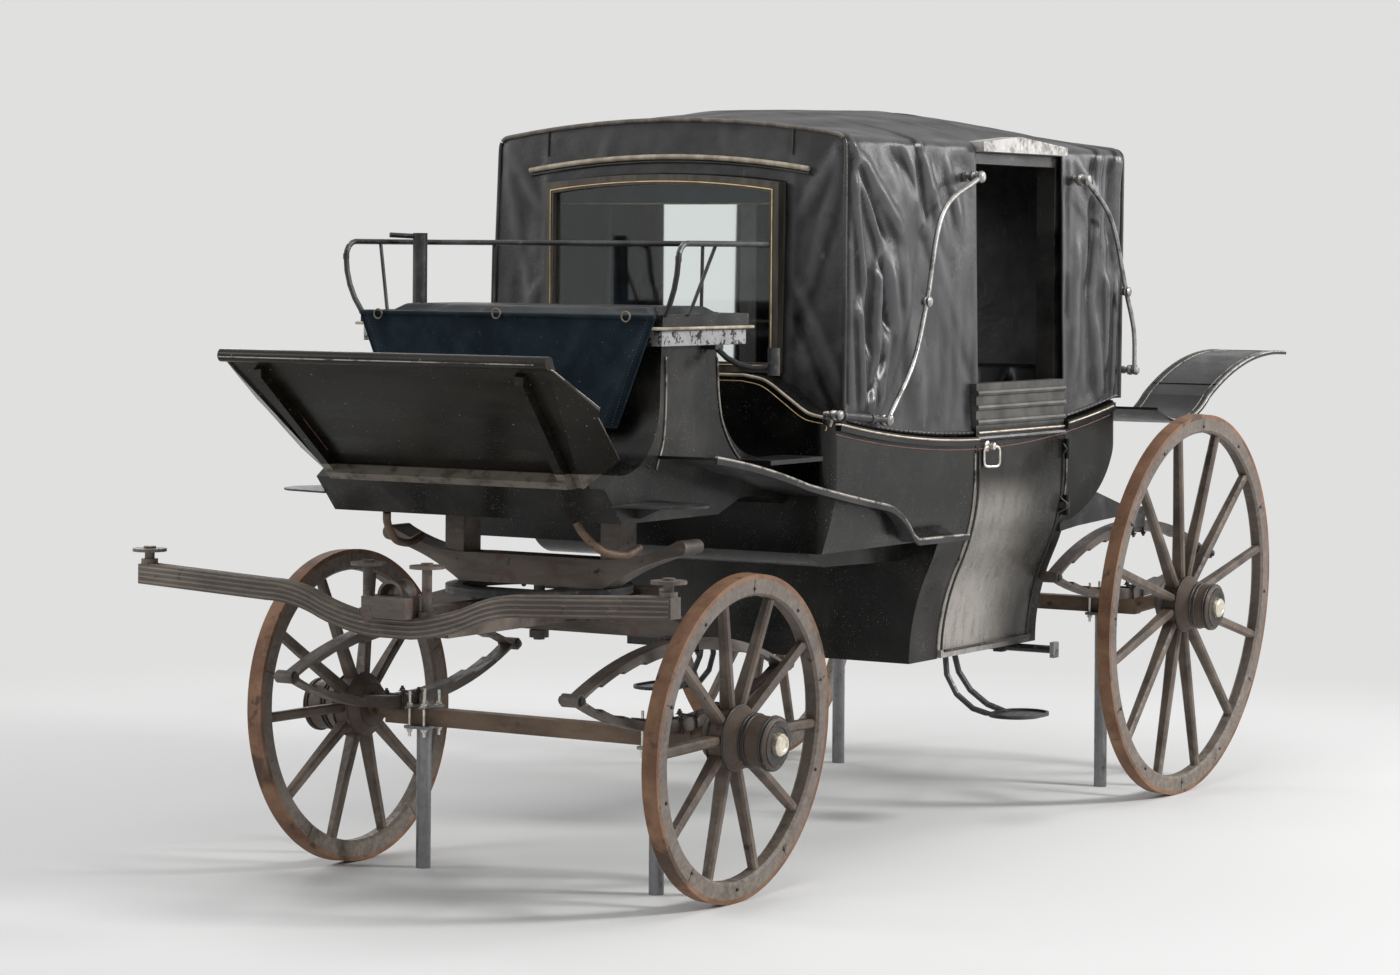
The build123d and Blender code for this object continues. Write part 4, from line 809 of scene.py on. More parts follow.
rear_creases = (
    (0.745, 1.990, 0.884, 1.850, 0.024, 0.007),
    (0.925, 2.000, 0.895, 1.730, 0.018, 0.010),
    (0.880, 1.940, 0.850, 1.600, 0.022, -0.007),
    (1.062, 1.990, 1.045, 1.690, 0.018, 0.010),
    (1.010, 1.960, 0.985, 1.640, 0.020, -0.009),
    (0.763, 1.660, 0.750, 1.380, 0.028, 0.006),
    (0.987, 1.700, 0.960, 1.380, 0.022, 0.008),
    (0.830, 1.560, 0.850, 1.300, 0.030, -0.006),
    (1.050, 1.560, 1.020, 1.260, 0.016, 0.007),
    (0.900, 1.430, 0.920, 1.260, 0.024, 0.005),
    (0.700, 1.940, 0.690, 1.500, 0.016, -0.004),
)
hoop_ends = ((-0.655, 1.985), (-0.240, 1.990), (0.930, 1.988), (1.065, 1.985))
pinches = tuple((y, z, y, z - 0.012, 0.016, 0.010) for y, z in hoop_ends)
print(len(front_creases) + len(rear_creases), "creases a side")

# %% Sew one half of the hood
side_rows, edge_rows, roof_rows = 84, 8, 48


def hood_half(name, start_y, end_y, pillar_y, door_behind, creases, columns, seed):
    """One half of the hood; on the door's side of the pillar only the roof rows are kept."""
    ys, at_pillar = columns_to_pillar(start_y, end_y, columns, pillar_y)
    base = np.array([hood_profile(float(y), side_rows, edge_rows, roof_rows) for y in ys])
    rows = base.shape[1]
    x, z, nx, nz = (base[:, :, k] for k in range(4))
    y = np.repeat(ys[:, None], rows, axis=1)
    # the front and rear faces lean, so the ends of the sheet lean with them
    end_lean = np.where(y < split_y, end_lean_at(z), end_lean_at(z, True))
    share = np.abs(y - split_y) / np.where(y < split_y, split_y - front_edge_y, rear_edge_y - split_y)
    y_placed = y + end_lean * share ** 6
    left = x > 0
    lift = strokes_at(y, z, creases + pinches) * np.where(left, 1.25, 0.95)
    lift += ripple(y, z, 6.0, 2.4, 0.0065, seed) + ripple(y, z, 17.0, 6.0, 0.0034, seed + 3.1)
    lift += np.where(left, 0.0, ripple(y, z, 9.0, 4.0, 0.004, seed + 9.7))
    side_part = np.clip((edge_z - 0.012 - z) / 0.06, 0, 1)
    roof_part = 1 - side_part
    roof_waves = ripple(y, x, 2.2, 9.0, 0.0035, seed + 5.0) + ripple(y, x, 14.0, 14.0, 0.0012, seed + 6.0)
    lift = lift * side_part + roof_waves * roof_part + strokes_at(y, z, pinches) * roof_part
    nailed = np.clip((z - belt_height(y)) / 0.05, 0, 1)
    by_pillar = np.clip(np.abs(y - pillar_y) / 0.03, 0, 1)
    lift *= nailed * np.where(side_part > 0.5, by_pillar, 1.0)
    lift = np.clip(lift, -0.020, 0.020)
    points = np.stack((x + nx * lift, y_placed, z + nz * lift), axis=2).reshape(-1, 3)
    used_rows = roof_rows_only(rows, side_rows, at_pillar, door_behind)
    sheet = add_piece(name, points, grid_faces(columns, rows, True, used_rows), hood_leather)
    keep_proud(sheet.data, lift)
    area = edited(sheet.data, trim_loose)
    thicken(sheet, 0.004)
    return sheet


hood_front = hood_half("hood_front_leather", front_edge_y, split_y - 0.001, pillar_front_y, True,
                       front_creases, 132, 1.5)
hood_rear = hood_half("hood_rear_leather", split_y + 0.001, rear_edge_y - 0.001, pillar_rear_y, False,
                      rear_creases, 100, 4.5)
declare(hood_front, "root", "hood_leather", "hood_front")
declare(hood_rear, "root", "hood_leather", "hood_rear")
print("hood sheets:", len(hood_front.data.polygons), len(hood_rear.data.polygons), "faces")

# %% [markdown]
# ## Beads, welts and rows of nails
#
# Thin trim follows paths: a welt along a roof edge, a bead on a panel, nails along the belt. Two small
# Geometry Nodes groups make all of it. `bead` sweeps a round section along a line of points, and
# `row_of_nails` walks along a line and sets a domed head at every step.

# %% Two Geometry Nodes groups
def node_group(name, sizes, *kinds):
    """Group whose nodes feed one another from its input to its output; the last of them paints."""
    group = bpy.data.node_groups.new(name, "GeometryNodeTree")
    group.interface.new_socket("Geometry", in_out="INPUT", socket_type="NodeSocketGeometry")
    for size in sizes:
        group.interface.new_socket(size, in_out="INPUT", socket_type="NodeSocketFloat")
    group.interface.new_socket("Finish", in_out="INPUT", socket_type="NodeSocketMaterial")
    group.interface.new_socket("Geometry", in_out="OUTPUT", socket_type="NodeSocketGeometry")
    start = group.nodes.new("NodeGroupInput")
    made, source = [], start.outputs[0]
    for kind in kinds:
        made.append(group.nodes.new("GeometryNode" + kind))
        group.links.new(source, made[-1].inputs[0])
        source = made[-1].outputs[0]
    group.links.new(source, group.nodes.new("NodeGroupOutput").inputs[0])
    group.links.new(start.outputs["Finish"], made[-1].inputs["Material"])
    return group, start, made


bead_group, start, made = node_group("bead_along_line", ["Radius"], "MeshToCurve", "CurveToMesh",
                                     "SetShadeSmooth", "SetMaterial")
sweep = made[1]
section = bead_group.nodes.new("GeometryNodeCurvePrimitiveCircle")
section.inputs["Resolution"].default_value = 8
bead_group.links.new(start.outputs["Radius"], section.inputs["Radius"])
bead_group.links.new(section.outputs[0], sweep.inputs["Profile Curve"])
sweep.inputs["Fill Caps"].default_value = True

nail_group, start, made = node_group("row_of_nails", ["Spacing", "Size"], "MeshToCurve", "ResampleCurve",
                                     "InstanceOnPoints", "RealizeInstances", "SetShadeSmooth", "SetMaterial")
walk, place_nails = made[1:3]
walk.mode = "LENGTH"
nail_group.links.new(start.outputs["Spacing"], walk.inputs["Length"])
head = nail_group.nodes.new("GeometryNodeMeshIcoSphere")
head.inputs["Subdivisions"].default_value = 2
nail_group.links.new(start.outputs["Size"], head.inputs["Radius"])
nail_group.links.new(head.outputs[0], place_nails.inputs["Instance"])


def run_group(piece, group, **values):
    """Run a group on the piece once and keep only the plain mesh that it makes."""
    modifier = piece.modifiers.new(group.name, "NODES")
    modifier.node_group = group
    for item in group.interface.items_tree:
        if item.in_out == "INPUT" and item.name in values:
            modifier[item.identifier] = values[item.name]
    return bake_modifiers(piece)


def lines_piece(name, lines):
    """Object whose edges follow several lines of points; a line that ends where it began is closed."""
    points, edges = [], []
    for line in lines:
        first = len(points)
        closed = (Vector(line[0]) - Vector(line[-1])).length < 1e-6
        kept = line[:-1] if closed else line
        points += [tuple(p) for p in kept]
        edges += [(first + i, first + i + 1) for i in range(len(kept) - 1)]
        if closed:
            edges.append((first + len(kept) - 1, first))
    return new_object(name, points, edges, [])


def mirrored(lines):
    return [[Vector((-p[0], p[1], p[2])) for p in line] for line in lines]


def both_sides(lines):
    return lines + mirrored(lines)


def bead(name, lines, radius, finish, body="root", slot=None, *replaced):
    piece = run_group(lines_piece(name, lines), bead_group, Radius=radius, Finish=finish)
    return declare(piece, body, slot, *replaced)


def pair_of_beads(name, lines, radius, finish, bodies):
    """The same bead on the carriage's left and right, as two pieces on two bodies."""
    bead(name + "_left", lines, radius, finish, bodies[0])
    bead(name + "_right", mirrored(lines), radius, finish, bodies[1])


def row_of_nails(name, lines, spacing, size, finish, body="root"):
    piece = run_group(lines_piece(name, lines), nail_group, Spacing=spacing, Size=size, Finish=finish)
    return declare(piece, body)


def smooth_line(corners, steps=10):
    """Points on a soft curve through the corners."""
    corners = [Vector(c) for c in corners]
    ends = [2 * corners[0] - corners[1]] + corners + [2 * corners[-1] - corners[-2]]
    line = []
    for a, b, c, d in zip(ends, ends[1:], ends[2:], ends[3:]):
        for i in range(steps):
            t = i / steps
            line.append(0.5 * (2 * b + (c - a) * t + (2 * a - 5 * b + 4 * c - d) * t * t
                               + (3 * b - a - 3 * c + d) * t * t * t))
    line.append(corners[-1])
    return line


print("groups:", bead_group.name, "and", nail_group.name)

# %% [markdown]
# ## The hood's front and rear faces
#
# The front face is leather on a wooden frame: a ring between the roof's arch and the arched window. It is
# made as rings of points that pass from one outline to the other, so that the creases can pull towards the
# corners. The rear face is closed.

# %% Front and rear faces
frame_low, frame_high = corner("front_window_frame")
window_half = frame_high.x - 0.001
window_low = frame_low.z + 0.001
window_high = frame_high.z - 0.001
window_arch = 0.024
face_creases = (
    # x0, z0, x1, z1, width, height: across the face and up
    (0.555, 1.960, 0.440, 1.800, 0.022, 0.008),
    (0.550, 1.900, 0.470, 1.600, 0.020, 0.006),
    (0.440, 1.560, 0.560, 1.330, 0.018, 0.007),
    (0.430, 1.480, 0.540, 1.260, 0.014, -0.006),
    (0.520, 1.700, 0.430, 1.440, 0.024, -0.005),
    (0.410, 1.930, 0.405, 1.300, 0.012, 0.003),
    (-0.550, 1.960, -0.450, 1.820, 0.022, 0.007),
    (-0.545, 1.880, -0.470, 1.560, 0.022, 0.006),
    (-0.440, 1.560, -0.555, 1.320, 0.018, 0.007),
    (-0.480, 1.760, -0.520, 1.420, 0.024, -0.005),
    (-0.410, 1.930, -0.405, 1.300, 0.012, 0.003),
    (-0.200, 2.010, -0.220, 1.930, 0.020, 0.003),
    (0.180, 2.010, 0.200, 1.930, 0.020, 0.003),
)


def fine_profile(y):
    """The hood's outline at y, with enough points for its rims: (x, z) pairs."""
    return [(x, z) for x, z, nx, nz in hood_profile(y, 60, 8, 60)]


def face_outline(y, low_z, count):
    """Even points round the hood's end, from the low corner on the carriage's left over the roof."""
    shape = [Vector((x, 0, z)) for x, z in fine_profile(y) if z > low_z]
    line = [Vector((shape[0].x, 0, low_z))] + shape + [Vector((shape[-1].x, 0, low_z))]
    closed = line + [line[0]]
    lengths = [(b - a).length for a, b in zip(closed, closed[1:])]
    total, out = sum(lengths), []
    for i in range(count):
        target, k = total * i / count, 0
        while target > lengths[k]:
            target -= lengths[k]
            k += 1
        out.append(closed[k].lerp(closed[k + 1], target / lengths[k]))
    return out


def window_edge(direction, middle):
    """Point on the window's outline that a ray from its middle meets."""
    dx, dz = direction
    reaches = []
    if abs(dx) > 1e-9:
        reaches.append(window_half / abs(dx))
    if dz < -1e-9:
        reaches.append((middle - window_low) / -dz)
    if dz > 1e-9:
        reaches.append((window_high - middle) / dz)
    x, z = dx * min(reaches), middle + dz * min(reaches)
    arch_z = window_high - window_arch * (x / window_half) ** 2
    return Vector((x, 0, min(z, arch_z) if dz > 0 else z))


def end_face(name, y, low_z, creases, rear, seed, rings=22, count=300):
    """One end of the hood, as rings from its outline in to the window or to the closed rear's middle."""
    outer = face_outline(y, low_z, count)
    middle = (window_low + window_high) / 2
    points = []
    for share in np.linspace(0, 1, rings + 1):
        for p in outer:
            if rear:
                shrunk = 1 - share * 0.98
                points.append((p.x * shrunk, middle + (p.z - middle) * shrunk))
            else:
                inner = window_edge(Vector((p.x, p.z - middle)).normalized(), middle)
                points.append(p.lerp(inner, share).xz)
    x, z = np.array(points).reshape(rings + 1, count, 2).transpose(2, 0, 1)
    lift = 0.45 * strokes_at(x, z, creases) + ripple(x, z, 4.0, 3.0, 0.003, seed)
    lift += ripple(x, z, 22.0, 14.0, 0.0008, seed + 2)
    share = np.linspace(0, 1, rings + 1)[:, None]
    held = np.clip(share / 0.12, 0, 1) * (1 if rear else np.clip((1 - share) / 0.10, 0, 1))
    lift = np.clip(lift * held, -0.004, 0.009)
    outward = 1 if rear else -1
    grid = np.stack((x, y + end_lean_at(z, rear) + outward * lift, z), axis=2).reshape(-1, 3)
    faces = []
    for k in range(rings):
        for i in range(count):
            a, b = k * count + i, k * count + (i + 1) % count
            faces.append((a, a + count, b + count, b) if rear else (a, b, b + count, a + count))
    if rear:
        grid = np.vstack((grid, grid[-count:].mean(axis=0)))
        faces += [(rings * count + i, len(grid) - 1, rings * count + (i + 1) % count) for i in range(count)]
    sheet = add_piece(name, grid, faces, hood_leather)
    keep_proud(sheet.data, lift)
    declare(thicken(sheet, 0.0035), "root", "hood_leather")
    return sheet


face_front = end_face("hood_front_face", front_edge_y, belt_at(front_edge_y) + 0.02, face_creases, False, 7.7)
face_rear = end_face("hood_rear_face", rear_edge_y - 0.001, belt_at(rear_edge_y) + 0.004, (), True, 8.8)
print("faces closed:", len(face_front.data.polygons), len(face_rear.data.polygons))

# %% Welts, drip moulding and the window's gold line
post_top_z = edge_z - 0.012
drip_half, drip_low, drip_rise = 0.462, 1.905, 0.036
seam_x, seam_low, seam_length = 0.405, 1.945, 0.08
gold_inset = 0.019


def along_front(x_z, out=0.004):
    """Points on the leaning front face."""
    return [Vector((x, front_edge_y + end_lean_at(z) - out, z)) for x, z in x_z]


welt_leather = leather("welt_leather", (0.020, 0.019, 0.018), (0.060, 0.056, 0.050), (0.3, 0.5), 420, False)
brown_welt = window_wood_finish("brown_welt", (0.055, 0.045, 0.036), (0.17, 0.15, 0.125))
drip_tan = window_wood_finish("drip_tan", (0.30, 0.25, 0.18), (0.55, 0.49, 0.38))
gold_line = bare_metal_worn("gold_line", (0.62, 0.47, 0.25), (0.30, 0.20, 0.09), 0.5, 0.35)

front_rim = [(x, z) for x, z in fine_profile(front_edge_y) if z > belt_at(front_edge_y)]
rear_rim = [(x, z) for x, z in fine_profile(rear_edge_y) if z > belt_at(rear_edge_y)]
roof_rim = [(x, z) for x, z in front_rim if z > post_top_z]
posts = [[(x, z) for x, z in front_rim if x * side > 0 and z <= post_top_z] for side in (1, -1)]
bead("front_roof_welt", [along_front(roof_rim, 0.003)], 0.0065, brown_welt)
bead("front_corner_welts", [along_front(post, 0.002) for post in posts], 0.0055, welt_leather)
rear_edge = [Vector((x, rear_edge_y + end_lean_at(z, True) + 0.002, z)) for x, z in rear_rim]
bead("rear_welt", [rear_edge], 0.006, welt_leather)

drip_xs = np.linspace(-drip_half, drip_half, 40)
drip = [(x, drip_low + drip_rise * (1 - (x / drip_half) ** 2)) for x in drip_xs]
bead("drip_moulding", [along_front(drip, 0.010)], 0.0075, drip_tan)
bead("drip_shadow_line", [along_front([(x, z - 0.013) for x, z in drip], 0.006)], 0.0045, welt_leather)
seams = [[(side * seam_x, seam_low + seam_length * i / 8) for i in range(9)] for side in (-1, 1)]
bead("front_face_seams", [along_front(line, 0.003) for line in seams], 0.0030, welt_leather)

gold_half, gold_low, gold_high = window_half - gold_inset, window_low + gold_inset, window_high - gold_inset
gold_xs = np.linspace(-gold_half, gold_half, 32)
gold_arch = [(x, gold_high - window_arch * (x / gold_half) ** 2) for x in gold_xs]
gold_row = [(-gold_half, gold_low)] + gold_arch + [(gold_half, gold_low), (-gold_half, gold_low)]
bead("window_gold_line", [[Vector((x, frame_low.y - 0.001, z)) for x, z in gold_row]], 0.0022, gold_line)
print("front trimmed")

# %% [markdown]
# ## What shows behind the window
#
# A short valance of navy cloth hangs from the window's head inside. Its folds deepen towards the hem.

# %% Valance
valance_top, valance_drop, valance_half = 1.885, 0.075, 0.375
valance_behind = 0.052


def valance_point(x, share):
    """A point of the valance; share is 0 along its head and 1 along its hem."""
    fold = 0.0045 * share * math.sin(x * 52 + 1.3 * math.sin(x * 9))
    return Vector((x, front_edge_y + valance_behind + fold, valance_top - valance_drop * share))


valance_xs = np.linspace(-valance_half, valance_half, 121)
valance_shares = np.linspace(0, 1, 11)
valance_points = [valance_point(x, share) for x in valance_xs for share in valance_shares]
valance = add_piece("window_valance", valance_points, grid_faces(len(valance_xs), len(valance_shares)), cloth)
thicken(valance, 0.0016)
hem_line = [valance_point(x, 1.0) for x in valance_xs]
hem = bead("valance_hem", [hem_line], 0.0022, tan_wood)
declare(valance, "root")

# %% [markdown]
# ## The apron
#
# A trapezoid of navy cloth is stretched from the driver's seat down to the foot of the box. Its top is
# rolled, its sides have a hem and a row of stitches, three rings hold it, and creases run down from its
# upper corners.

# %% Apron
apron_low, apron_high = corner("seat_apron")
apron_half, apron_slant = apron_high.x, 0.118
apron_height = apron_high.z - apron_low.z
apron_columns, apron_rows = 91, 35
apron_creases = (
    # x0, z0, x1, z1, width, height
    (apron_half - 0.01, apron_high.z - 0.01, 0.330, 1.250, 0.016, 0.007),
    (apron_half - 0.06, apron_high.z - 0.01, 0.250, 1.260, 0.022, -0.004),
    (0.280, 1.505, 0.200, 1.380, 0.018, 0.004),
    (-0.430, 1.500, -0.330, 1.280, 0.020, 0.005),
    (-0.100, 1.505, -0.130, 1.330, 0.025, 0.003),
    (0.020, 1.505, 0.060, 1.400, 0.016, 0.003),
)
apron_down, apron_over = np.meshgrid(np.linspace(0, 1, apron_rows), np.linspace(-1, 1, apron_columns))
apron_x = (apron_half - apron_slant * apron_down) * apron_over
apron_z = apron_high.z - apron_height * apron_down
lift = strokes_at(apron_x, apron_z, apron_creases) + ripple(apron_x, apron_z, 4.0, 3.0, 0.004, 2.2) + 0.002
lift = np.clip(lift, -0.001, 0.009)
apron_grid = np.stack((apron_x, apron_low.y - lift, apron_z), axis=2)
apron = add_piece("apron_cloth", apron_grid.reshape(-1, 3), grid_faces(apron_columns, apron_rows), cloth)
thicken(apron, 0.0018)
declare(apron, "root", "apron_cloth", "seat_apron")


def apron_line(points, out=0.0):
    return [Vector(p) + Vector((0, -out, 0)) for p in points]


roll = bead("apron_roll", [apron_line(apron_grid[:, 0], 0.002)], 0.006, cloth)
hem_lines = [apron_line(points) for points in (apron_grid[0], apron_grid[-1], apron_grid[:, -1])]
hems = bead("apron_hems", hem_lines, 0.003, cloth)
stitch_thread = window_wood_finish("stitch_thread", (0.10, 0.11, 0.11), (0.22, 0.23, 0.22))
stitch_lines = [apron_line(apron_grid[k], 0.0012) for k in (2, apron_columns - 3)]
stitches = row_of_nails("apron_stitches", stitch_lines, 0.008, 0.0011, stitch_thread)
ring_radius = 0.013
apron_rings = []
for x, lower in ((-0.405, 0.004), (-0.02, -0.002), (0.385, 0.0)):
    centre = Vector((x, apron_low.y - 0.010, apron_high.z - lower))
    turns = np.linspace(0, 2 * math.pi, 17)[:-1]
    ring = [centre + Vector((ring_radius * math.cos(t), -0.003, ring_radius * math.sin(t))) for t in turns]
    apron_rings.append(ring + [ring[0]])
bead("apron_rings", apron_rings, 0.0022, tan_wood)
print("apron", round(2 * apron_half, 3), "by", round(apron_height, 3), "m")

# %% [markdown]
# ## Stuffed pieces
#
# Each cushion starts as a copy of its plain solid. It is remeshed evenly, shrunk, and blown up again by a
# short cloth simulation, so its sides swell and pull in between the corners. The squabs and seats are then
# buttoned: a button pulls a dimple, and pleats run between neighbours.

# %% Cushion maker
def every(items, attribute):
    """The same vector of every vertex, as rows of an array."""
    return np.array([getattr(item, attribute) for item in items])


def stuffed(node, name, finish, swell, pinned, voxel=0.012, pressure=4.0):
    """Swollen copy of a plain cushion; pinned(point) says which points don't move."""
    piece = bpy.data.objects.new(name, nodes[node].data.copy())
    scene.collection.objects.link(piece)
    edited(piece.data, weld)
    even = piece.modifiers.new("even", "REMESH")
    even.mode = "VOXEL"
    even.voxel_size = voxel
    bake_modifiers(piece)

    def shrink(bm):
        for _ in range(3):
            bmesh.ops.smooth_vert(bm, verts=bm.verts, factor=0.5, use_axis_x=True, use_axis_y=True,
                                  use_axis_z=True)
        for v in bm.verts:
            if not pinned(v.co):
                v.co -= v.normal * swell * 0.7

    edited(piece.data, shrink)
    start = every(piece.data.vertices, "co")
    pins = piece.vertex_groups.new(name="pins")
    pins.add([v.index for v in piece.data.vertices if pinned(v.co)], 1.0, "REPLACE")
    stuffing = piece.modifiers.new("stuffing", "CLOTH")
    stuffing.settings.quality = 4
    stuffing.settings.use_pressure = True
    stuffing.settings.uniform_pressure_force = pressure
    stuffing.settings.effector_weights.gravity = 0
    stuffing.settings.vertex_group_mass = "pins"
    stuffing.collision_settings.use_collision = False
    for frame_number in range(1, 21):
        scene.frame_set(frame_number)
    bake_modifiers(piece)
    scene.frame_set(1)
    piece.vertex_groups.clear()
    moved = every(piece.data.vertices, "co")
    step = moved - start
    length = np.maximum(1e-9, np.linalg.norm(step, axis=1, keepdims=True))
    moved = start + step * np.minimum(1, swell / length)
    low_corner, high_corner = corner(node)
    moved = np.clip(moved, np.array(low_corner) - 0.003, np.array(high_corner) + 0.008)
    piece.data.vertices.foreach_set("co", moved.ravel())
    finer = piece.modifiers.new("finer", "SUBSURF")
    finer.levels = finer.render_levels = 1
    bake_modifiers(piece)
    piece.data.polygons.foreach_set("use_smooth", [True] * len(piece.data.polygons))
    piece.data.materials.clear()
    piece.data.materials.append(finish)
    return piece


def button_places(a_low, a_high, b_low, b_high, step_a, step_b):
    """Diamond rows of places over a rectangle; every other row has one button fewer."""
    places = []
    rows = max(1, round((b_high - b_low) / step_b))
    most = max(2, round((a_high - a_low) / step_a))
    for row in range(rows):
        count = most - (row % 2)
        span = (a_high - a_low) * count / most
        b = b_low + (b_high - b_low) * (row + 0.5) / rows
        places += [(-span / 2 + span * (k + 0.5) / count + (a_low + a_high) / 2, b) for k in range(count)]
    return places


def surface_of(mesh):
    return BVHTree.FromPolygons([v.co.copy() for v in mesh.vertices],
                                [tuple(p.vertices) for p in mesh.polygons])


def press_buttons(piece, places, facing, a_axis, b_axis, step, dimple=0.014, pleat=0.006):
    """Pull dimples and pleats into the side that looks along facing; returns where the buttons sit."""
    points = every(piece.data.vertices, "co")
    side = np.clip((every(piece.data.vertices, "normal") @ np.array(facing) - 0.25) / 0.5, 0, 1)
    pleats = []
    for i, (a0, b0) in enumerate(places):
        for a1, b1 in places[i + 1:]:
            if b1 != b0 and math.hypot(a1 - a0, b1 - b0) < step:
                pleats.append((a0, b0, a1, b1, 0.0075, -pleat))
    dots = [(a, b, a, b + 0.0005, 0.016, -dimple) for a, b in places]
    press = strokes_at(points[:, a_axis], points[:, b_axis], pleats + dots)
    points += np.array(facing) * (np.maximum(press, -dimple - pleat) * side)[:, None]
    piece.data.vertices.foreach_set("co", points.ravel())
    piece.data.update()
    surface = surface_of(piece.data)
    third = 3 - a_axis - b_axis
    found = []
    for a_place, b_place in places:
        start = Vector((0, 0, 0))
        start[a_axis], start[b_axis] = a_place, b_place
        start[third] = points[:, third].mean() + facing[third] * 0.5
        hit = surface.ray_cast(start, -Vector(facing))[0]
        if hit:
            found.append(hit)
    return found


def buttons(name, places, facing, finish, radius=0.009, sides=12):
    """Low domes, one on each place, looking along facing."""
    turn_to = Vector(facing).to_track_quat("Z", "Y").to_matrix()
    dome = ((1.0, -0.002), (1.0, 0.001), (0.75, 0.0038), (0.35, 0.0052))
    points, faces = [], []
    for place in places:
        first = len(points)
        for share, height in dome:
            for k in range(sides):
                angle = 2 * math.pi * k / sides
                spot = Vector((math.cos(angle) * radius * share, math.sin(angle) * radius * share, height))
                points.append(place + turn_to @ spot)
        points.append(place + turn_to @ Vector((0, 0, 0.0056)))
        points.append(place + turn_to @ Vector((0, 0, -0.002)))
        top, bottom = first + len(dome) * sides, first + len(dome) * sides + 1
        for k in range(sides):
            following = (k + 1) % sides
            for row in range(len(dome) - 1):
                a, b = first + row * sides + k, first + row * sides + following
                faces.append((a, b, b + sides, a + sides))
            last = first + (len(dome) - 1) * sides
            faces.append((last + k, last + following, top))
            faces.append((first + following, first + k, bottom))
    return declare(add_piece(name, points, faces, finish), "root")


def piping(name, piece, corners, finish, radius=0.004):
    """Bead round a stuffed piece, laid on its nearest surface."""
    surface = surface_of(piece.data)
    line = []
    for a, b in zip(corners, corners[1:] + corners[:1]):
        a, b = Vector(a), Vector(b)
        steps = max(2, int((b - a).length / 0.015))
        line += [surface.find_nearest(a.lerp(b, i / steps))[0] for i in range(steps)]
    line.append(line[0])
    return bead(name, [line], radius, finish)


def resting_side(facing, box_low, box_high, skin=0.006):
    """Says of a point whether it is on the side that the cushion rests on."""
    if facing == (0, 0, 1):
        return lambda p: p.z < box_low.z + skin
    back = box_high.y - skin if facing[1] < 0 else box_low.y + skin
    return lambda p: (p.y - back) * facing[1] < 0


# %% Driver's cushion, cabin cushions and squabs
cushion_table = (
    # node, name, swell, facing, first axis, second axis, step across, step along, buttoned
    ("driver_cushion", "driver_cushion_stuffed", 0.016, (0, 0, 1), 0, 1, 0.16, 0.13, False),
    ("rear_seat_cushion", "rear_cushion_stuffed", 0.022, (0, 0, 1), 0, 1, 0.15, 0.12, True),
    ("front_seat_cushion", "front_cushion_stuffed", 0.022, (0, 0, 1), 0, 1, 0.15, 0.12, True),
    ("rear_seat_squab", "rear_squab_stuffed", 0.018, (0, -1, 0), 0, 2, 0.12, 0.085, True),
    ("front_seat_squab", "front_squab_stuffed", 0.018, (0, 1, 0), 0, 2, 0.12, 0.085, True),
)
button_inset, under_squab = 0.045, 0.10
button_leather = leather("button_leather", (0.010, 0.011, 0.012), (0.030, 0.031, 0.034), (0.25, 0.4), 600,
                         False)
for node, name, swell, facing, a_axis, b_axis, step_a, step_b, buttoned in cushion_table:
    box_low, box_high = corner(node)
    piece = stuffed(node, name, trim_leather, swell, resting_side(facing, box_low, box_high))
    if buttoned:
        if b_axis == 1:
            hidden = under_squab if node == "rear_seat_cushion" else 0
            span_b = (box_low.y + 0.03, box_high.y - 0.03 - hidden)
        else:
            span_b = (box_low.z + 0.02, box_high.z - 0.02)
        places = button_places(box_low.x + button_inset, box_high.x - button_inset, *span_b, step_a, step_b)
        reach = 1.35 * math.hypot(step_a / 2, step_b)
        found = press_buttons(piece, places, facing, a_axis, b_axis, reach)
        buttons(name + "_buttons", found, facing, button_leather)
    declare(piece, "root", "seat_leather", node)
    if facing == (0, 0, 1):
        top = box_high.z - 0.012
        rim = [(x, y, top) for x, y in ((box_low.x, box_low.y), (box_high.x, box_low.y),
                                        (box_high.x, box_high.y - 0.02), (box_low.x, box_high.y - 0.02))]
        piping(name + "_piping", piece, rim, button_leather)
    print(name, len(piece.data.polygons), "faces")

# %% [markdown]
# ## Beads on the body
#
# A coachbuilder covers every joint with a thin bead. Each line below is drawn roughly and then dropped onto
# the panel by a ray, so it follows the body's own curve. Beads on a door ride with that door.

# %% Lay lines onto the frame's panels
def skin_of(*names):
    points, faces = [], []
    for name in names:
        mesh = nodes[name].data
        first = len(points)
        points += [v.co.copy() for v in mesh.vertices]
        faces += [tuple(first + k for k in p.vertices) for p in mesh.polygons]
    return BVHTree.FromPolygons(points, faces)


def laid(tree, line, toward, proud=0.001, start=1.5):
    """Points where rays along toward meet the panel; missed points are left out."""
    toward = Vector(toward).normalized()
    found = []
    for p in line:
        hit = tree.ray_cast(Vector(p) - toward * start, toward)[0]
        if hit:
            found.append(hit - toward * proud)
    return found


side_skin = skin_of("front_quarters", "rear_quarters", "door_left", "cabin_well")
inward, down = (-1, 0, 0), (0, 0, -1)
door_y_front, door_y_rear = door_box_low.y + 0.006, door_box_high.y - 0.006
on_doors, on_body = ("door_left", "door_right"), ("root", "root")


def side_line(y_z, proud=0.001):
    return laid(side_skin, [Vector((0, y, z)) for y, z in y_z], inward, proud)


def upright(y, z_from, z_to, count=40, proud=0.001):
    return side_line([(y, z) for z in np.linspace(z_from, z_to, count)], proud)


def level_line(z, y_from, y_to, count, proud=0.0015):
    return side_line([(y, z) for y in np.linspace(y_from, y_to, count)], proud)


def belt_run(y_from, y_to, drop, count=50):
    return side_line([(y, belt_at(y) - drop) for y in np.linspace(y_from, y_to, count)])


